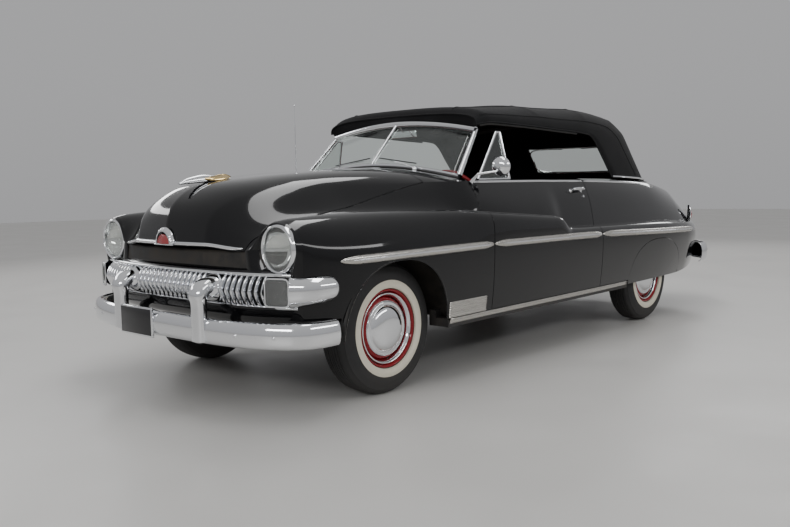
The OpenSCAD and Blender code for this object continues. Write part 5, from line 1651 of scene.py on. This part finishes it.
class CONVERTIBLE_OT_cabin(bpy.types.Operator):
    """Dashboard, steering wheel, door trim, carpets and inner panels"""
    bl_idname = "convertible.cabin"
    bl_label = "Cabin"

    def execute(self, context):
        self.dashboard()
        self.steering()
        self.door_trim()
        floor = mapped(2, 2, lambda i, j: Vector((-0.70 + 1.4 * j, -1.24 + 1.88 * i, 0.413)), inside=(0, 0, 0))
        keep(floor, "cabin_carpet", "body", "carpet", thick=0.0015)
        for side, sign in SIDES:
            wall = mapped(12, 8, lambda i, j: Vector((sign * 0.745, 0.33 + 0.09 * i, 0.58 + 0.065 * j)),
                          inside=(sign * 2, 0.8, 0.7))
            keep(wall, "quarter_trim_" + side, "body", "leather", thick=0.004)
            kick = mapped(8, 6, lambda i, j: Vector((sign * 0.70, -1.23 + 0.033 * i, 0.42 + 0.11 * j)),
                          inside=(sign * 2, -1.1, 0.7))
            keep(kick, "kick_panel_" + side, "body", "carpet", thick=0.003)
        back = mapped(2, 10, lambda i, j: Vector((-0.585 + 0.13 * j, 1.30, 0.62 + 0.34 * i)),
                      inside=(0, 3, 0.7))
        keep(back, "trunk_bulkhead", "body", "carpet", thick=0.004)
        shelf = mapped(8, 10, lambda i, j: Vector((-0.60 + 1.2 * j / 9, 1.28 + 0.05 * i, 0.965 + 0.004 * i)),
                       inside=(0, 1.4, 0))
        keep(shelf, "parcel_shelf", "body", "leather", thick=0.004)
        return {"FINISHED"}

    def dashboard(self):
        shape = rounded([(-0.99, 1.142), (-0.93, 1.139), (-0.86, 1.124), (-0.78, 1.098), (-0.742, 1.066),
                         (-0.738, 1.02), (-0.752, 0.95), (-0.77, 0.88), (-0.79, 0.835), (-0.82, 0.83)], 5)

        def place(i, j):
            x = -0.66 + 1.32 * i / 60
            y, z = shape[j]
            lift = 0.03 * (1 - (x / 0.72) ** 2) * smooth((z - 1.04) / 0.08)
            crown = -0.055 * (x / 0.72) ** 2
            return Vector((x, y + 0.02 * abs(crown), z + lift + crown * smooth((z - 1.0) / 0.1)))
        keep(mapped(61, len(shape), place, inside=(0, -1.05, 0.95)), "dash_panel", "body", "dash",
             replaces=("dashboard",), thick=0.004)
        for k, x in enumerate((0.28, 0.368, 0.456)):
            r = 0.052 if k == 1 else 0.038
            at = Vector((x, -0.739, 1.0))
            ring = rounded([(r - 0.008, 0.002), (r - 0.004, 0.008), (r, 0.006), (r + 0.002, -0.004)], 4)
            keep(placed(turned(ring, 48), at, (0, 1, 0.08)), "gauge_bezel_%d" % k, "body", "chrome")
            keep(placed(turned([(0, 0.001), (r - 0.006, 0.001), (r - 0.004, -0.003)], 48), at, (0, 1, 0.08)),
                 "gauge_face_%d" % k, "body", "dark")
            hand = at + Vector((0, 0.004, 0))
            keep(tube([hand, hand + Vector((0.5 * r, 0.001, 0.45 * r))], 0.0012, 6), "gauge_hand_%d" % k,
                 "body",
                 "stainless")
        for k in range(9):
            z = 0.93 + k * 0.012
            keep(tube([Vector((-0.10, -0.746, z)), Vector((0.12, -0.746, z))], 0.003, 8), "dash_grille_%d" % k,
                 "body", "chrome")
        keep(block((-0.52, -0.752, 0.915), (-0.18, -0.738, 1.035), 0.005), "glove_box_lid", "body", "dash")
        keep(placed(turned([(0, 0.012), (0.01, 0.01), (0.012, 0)], 24), (-0.35, -0.739, 0.99), (0, 1, 0)),
             "glove_box_knob", "body", "chrome")
        keep(tube([Vector((-0.66, -0.741, 0.90)), Vector((0.66, -0.741, 0.90))], 0.004, 8), "dash_moulding",
             "body",
             "chrome")
        axis, mid = COLUMN_AXIS, WHEEL_CENTRE
        keep(tube([mid - axis * 0.66, mid - axis * 0.2, mid - axis * 0.055], 0, 24,
                  taper=[0.022, 0.022, 0.024]),
             "steering_column", "body", "dash")

    def steering(self):
        axis, mid, r = COLUMN_AXIS, WHEEL_CENTRE, 0.207
        grip = [(r + 0.0115 * cos(a), 0.0115 * sin(a)) for a in steps(0, 2 * pi, 20)]
        bm = turned(grip, 96)
        keep(placed(bm, mid, axis), "steering_rim", "steering_wheel", "ivory", replaces=("steering_wheel",))
        ring = [(0.135 + 0.004 * cos(a), 0.006 + 0.004 * sin(a)) for a in steps(0, 2 * pi, 10)]
        keep(placed(turned(ring, 96), mid, axis), "horn_ring", "steering_wheel", "chrome")
        hub = rounded([(0, 0.018), (0.02, 0.016), (0.032, 0.006), (0.036, -0.01), (0.034, -0.03),
                       (0.0, -0.034)], 4)
        keep(placed(turned(hub, 48), mid, axis), "steering_hub", "steering_wheel", "chrome")
        side = axis.cross(Vector((1, 0, 0))).normalized()
        for k, a in enumerate((0, 180, 270)):
            way = Vector((1, 0, 0)) * cos(radians(a)) + side * sin(radians(a))
            pts = [mid + way * d + axis * h for d, h in ((0.02, -0.006), (0.08, -0.008), (0.15, -0.004),
                                                         (0.2, 0.0))]
            keep(tube(pts, 0, 12, taper=[0.012, 0.009, 0.008, 0.008]), "steering_spoke_%d" % k,
                 "steering_wheel",
                 "ivory")

    def door_trim(self):
        """Trim panel, arm rest and cranks inside each door."""
        for side, sign in SIDES:
            us = steps(DOOR_FRONT + 25, DOOR_BACK - 35, 40)

            def place(i, j):
                t = j / 24
                q = body(round(us[i], 3), 1.0)
                z = 1.095 - (1.095 - 0.40) * t
                s = side_s(us[i], z / MM) if z < 0.77 else None
                x = q.x - 0.083 - 0.004 * sin(pi * t) if s is None else q.x - 0.083
                ribs = 0.004 * abs(sin(pi * i / 40 * 12)) * (1 if 0.25 < t < 0.7 else 0)
                return Vector((sign * (x - ribs), us[i] * MM, z))
            keep(mapped(41, 25, place, inside=(sign * 2, -0.3, 0.7)), "door_trim_" + side, "door_" + side,
                 "leather",
                 thick=0.004)
            x = sign * 0.672
            keep(block((min(x, x + sign * 0.03), -0.32, 0.80), (max(x, x + sign * 0.03), 0.05, 0.845), 0.012,
                       4),
                 "arm_rest_" + side, "door_" + side, "leather")
            for k, y in enumerate((-0.5, -0.62)):
                hub = Vector((x + sign * 0.012, y, 0.90))
                keep(tube([hub, hub - Vector((sign * 0.02, 0, 0)), hub - Vector((sign * 0.022, 0.03, 0.045)),
                           hub - Vector((sign * 0.034, 0.033, 0.05))], 0, 10, taper=[0.011, 0.007, 0.005,
                                                                                     0.007]),
                     "door_crank_%s_%d" % (side, k), "door_" + side, "chrome")


# ---- Rear lamps, antenna and chassis
class CONVERTIBLE_OT_rear_details(bpy.types.Operator):
    """Tail lamps and the antenna"""
    bl_idname = "convertible.rear_details"
    bl_label = "Tail lamps and antenna"

    def execute(self, context):
        for side, sign in SIDES:
            centre = Vector((0.822, 2.075, 0.0))
            way = Vector((0.62, 0.78, 0)).normalized()
            across = Vector((-way.y, way.x, 0))
            for name, w, d, z0, z1, finish in (("tail_lamp_housing", 0.032, 0.026, 0.725, 0.872, "chrome"),
                                               ("tail_lamp_lens", 0.024, 0.037, 0.742, 0.846, "red_lens")):
                rings = []
                for i in range(17):
                    t = i / 16
                    swell = sin(pi * (0.08 + 0.84 * t)) ** 0.45
                    ring = []
                    for a in circle(20):
                        q = (centre + across * (w * swell * cos(a))
                             + way * (d * swell * (0.55 + 0.45 * sin(a)) - 0.008))
                        ring.append(Vector((sign * q.x, q.y, z0 + (z1 - z0) * t)))
                    rings.append(ring)
                keep(closed_loft(rings), "%s_%s" % (name, side), "body", finish,
                     replaces=("tail_lamps",) if finish == "chrome" else ())
            round_lamp = Vector((sign * 0.70, 2.42, 0.66))
            out = Vector((sign * 0.5, 1, 0)).normalized()
            keep(placed(turned(rounded([(0.03, 0.004), (0.034, 0.008), (0.038, 0.002), (0.039, -0.01)], 3), 40),
                        round_lamp, out), "reflector_ring_" + side, "body", "chrome")
            keep(placed(turned(rounded([(0, 0.012), (0.016, 0.0105), (0.031, 0.003)], 4), 40), round_lamp, out),
                 "reflector_" + side, "body", "red_lens")
        root = body(-1010, -0.9)
        foot = rounded([(0, 0.03), (0.006, 0.028), (0.009, 0.018), (0.016, 0.008), (0.02, -0.004)], 4)
        keep(placed(turned(foot, 32), root, (0, 0, 1)), "antenna_foot", "body", "chrome", replaces=("antenna",))
        mast = [root + Vector((0, 0, z)) for z in (0.02, 0.2, 0.21, 0.38, 0.39, 1.648 - root.z)]
        keep(tube(mast, 0, 10, taper=[0.0034, 0.0034, 0.0026, 0.0026, 0.0018, 0.0016]), "antenna_mast", "body",
             "chrome")
        ball = [(0.006 * sin(pi * t), 0.006 * -cos(pi * t)) for t in steps(0, 1, 10)]
        keep(placed(turned(ball, 24), (root.x, root.y, 1.652), (0, 0, 1)), "antenna_tip", "body", "chrome")
        return {"FINISHED"}


class CONVERTIBLE_OT_chassis(bpy.types.Operator):
    """Finishes of the chassis parts that show as they are"""
    bl_idname = "convertible.chassis"
    bl_label = "Chassis finishes"

    FINISH = {"body_paint": "paint", "chrome": "chrome", "stainless": "chassis", "frame_steel": "chassis",
              "glass": "glass", "canvas": "lining", "seat_leather": "leather", "dash_trim": "dash",
              "wheel_paint": "wheel", "tyre_rubber": "rubber"}

    def execute(self, context):
        slots = {row["node"]: row["material_slot"] for row in frame["record"]["subparts"]}
        for name, node in frame["nodes"].items():
            if node.hide_render:
                continue
            finish = material(self.FINISH[slots[name]])
            node.data.materials.clear()
            node.data.materials.append(finish)
        return {"FINISHED"}


class CONVERTIBLE_PT_panel(bpy.types.Panel):
    """Builders of the car's pieces, in order"""
    bl_idname = "CONVERTIBLE_PT_panel"
    bl_label = "Convertible"
    bl_space_type = "VIEW_3D"
    bl_region_type = "UI"
    bl_category = "Convertible"

    def draw(self, context):
        box = self.layout.box()
        for key in ConvertibleSettings.__annotations__:
            box.prop(context.scene.convertible, key)
        for operator in BUILDERS:
            self.layout.operator(operator.bl_idname)


BUILDERS = (CONVERTIBLE_OT_stage, CONVERTIBLE_OT_hood, CONVERTIBLE_OT_sides, CONVERTIBLE_OT_rear,
            CONVERTIBLE_OT_bumpers, CONVERTIBLE_OT_nose, CONVERTIBLE_OT_mouldings, CONVERTIBLE_OT_windshield,
            CONVERTIBLE_OT_soft_top, CONVERTIBLE_OT_wheels, CONVERTIBLE_OT_seats, CONVERTIBLE_OT_cabin,
            CONVERTIBLE_OT_rear_details, CONVERTIBLE_OT_chassis)
CLASSES = (ConvertibleSettings, *BUILDERS, CONVERTIBLE_PT_panel)


def register():
    for cls in CLASSES:
        bpy.utils.register_class(cls)
    bpy.types.Scene.convertible = PointerProperty(type=ConvertibleSettings)


def unregister():
    del bpy.types.Scene.convertible
    for cls in reversed(CLASSES):
        bpy.utils.unregister_class(cls)


def main():
    register()
    for operator in BUILDERS:
        group, name = operator.bl_idname.split(".")
        getattr(getattr(bpy.ops, group), name)()


if __name__ == "__main__":
    main()
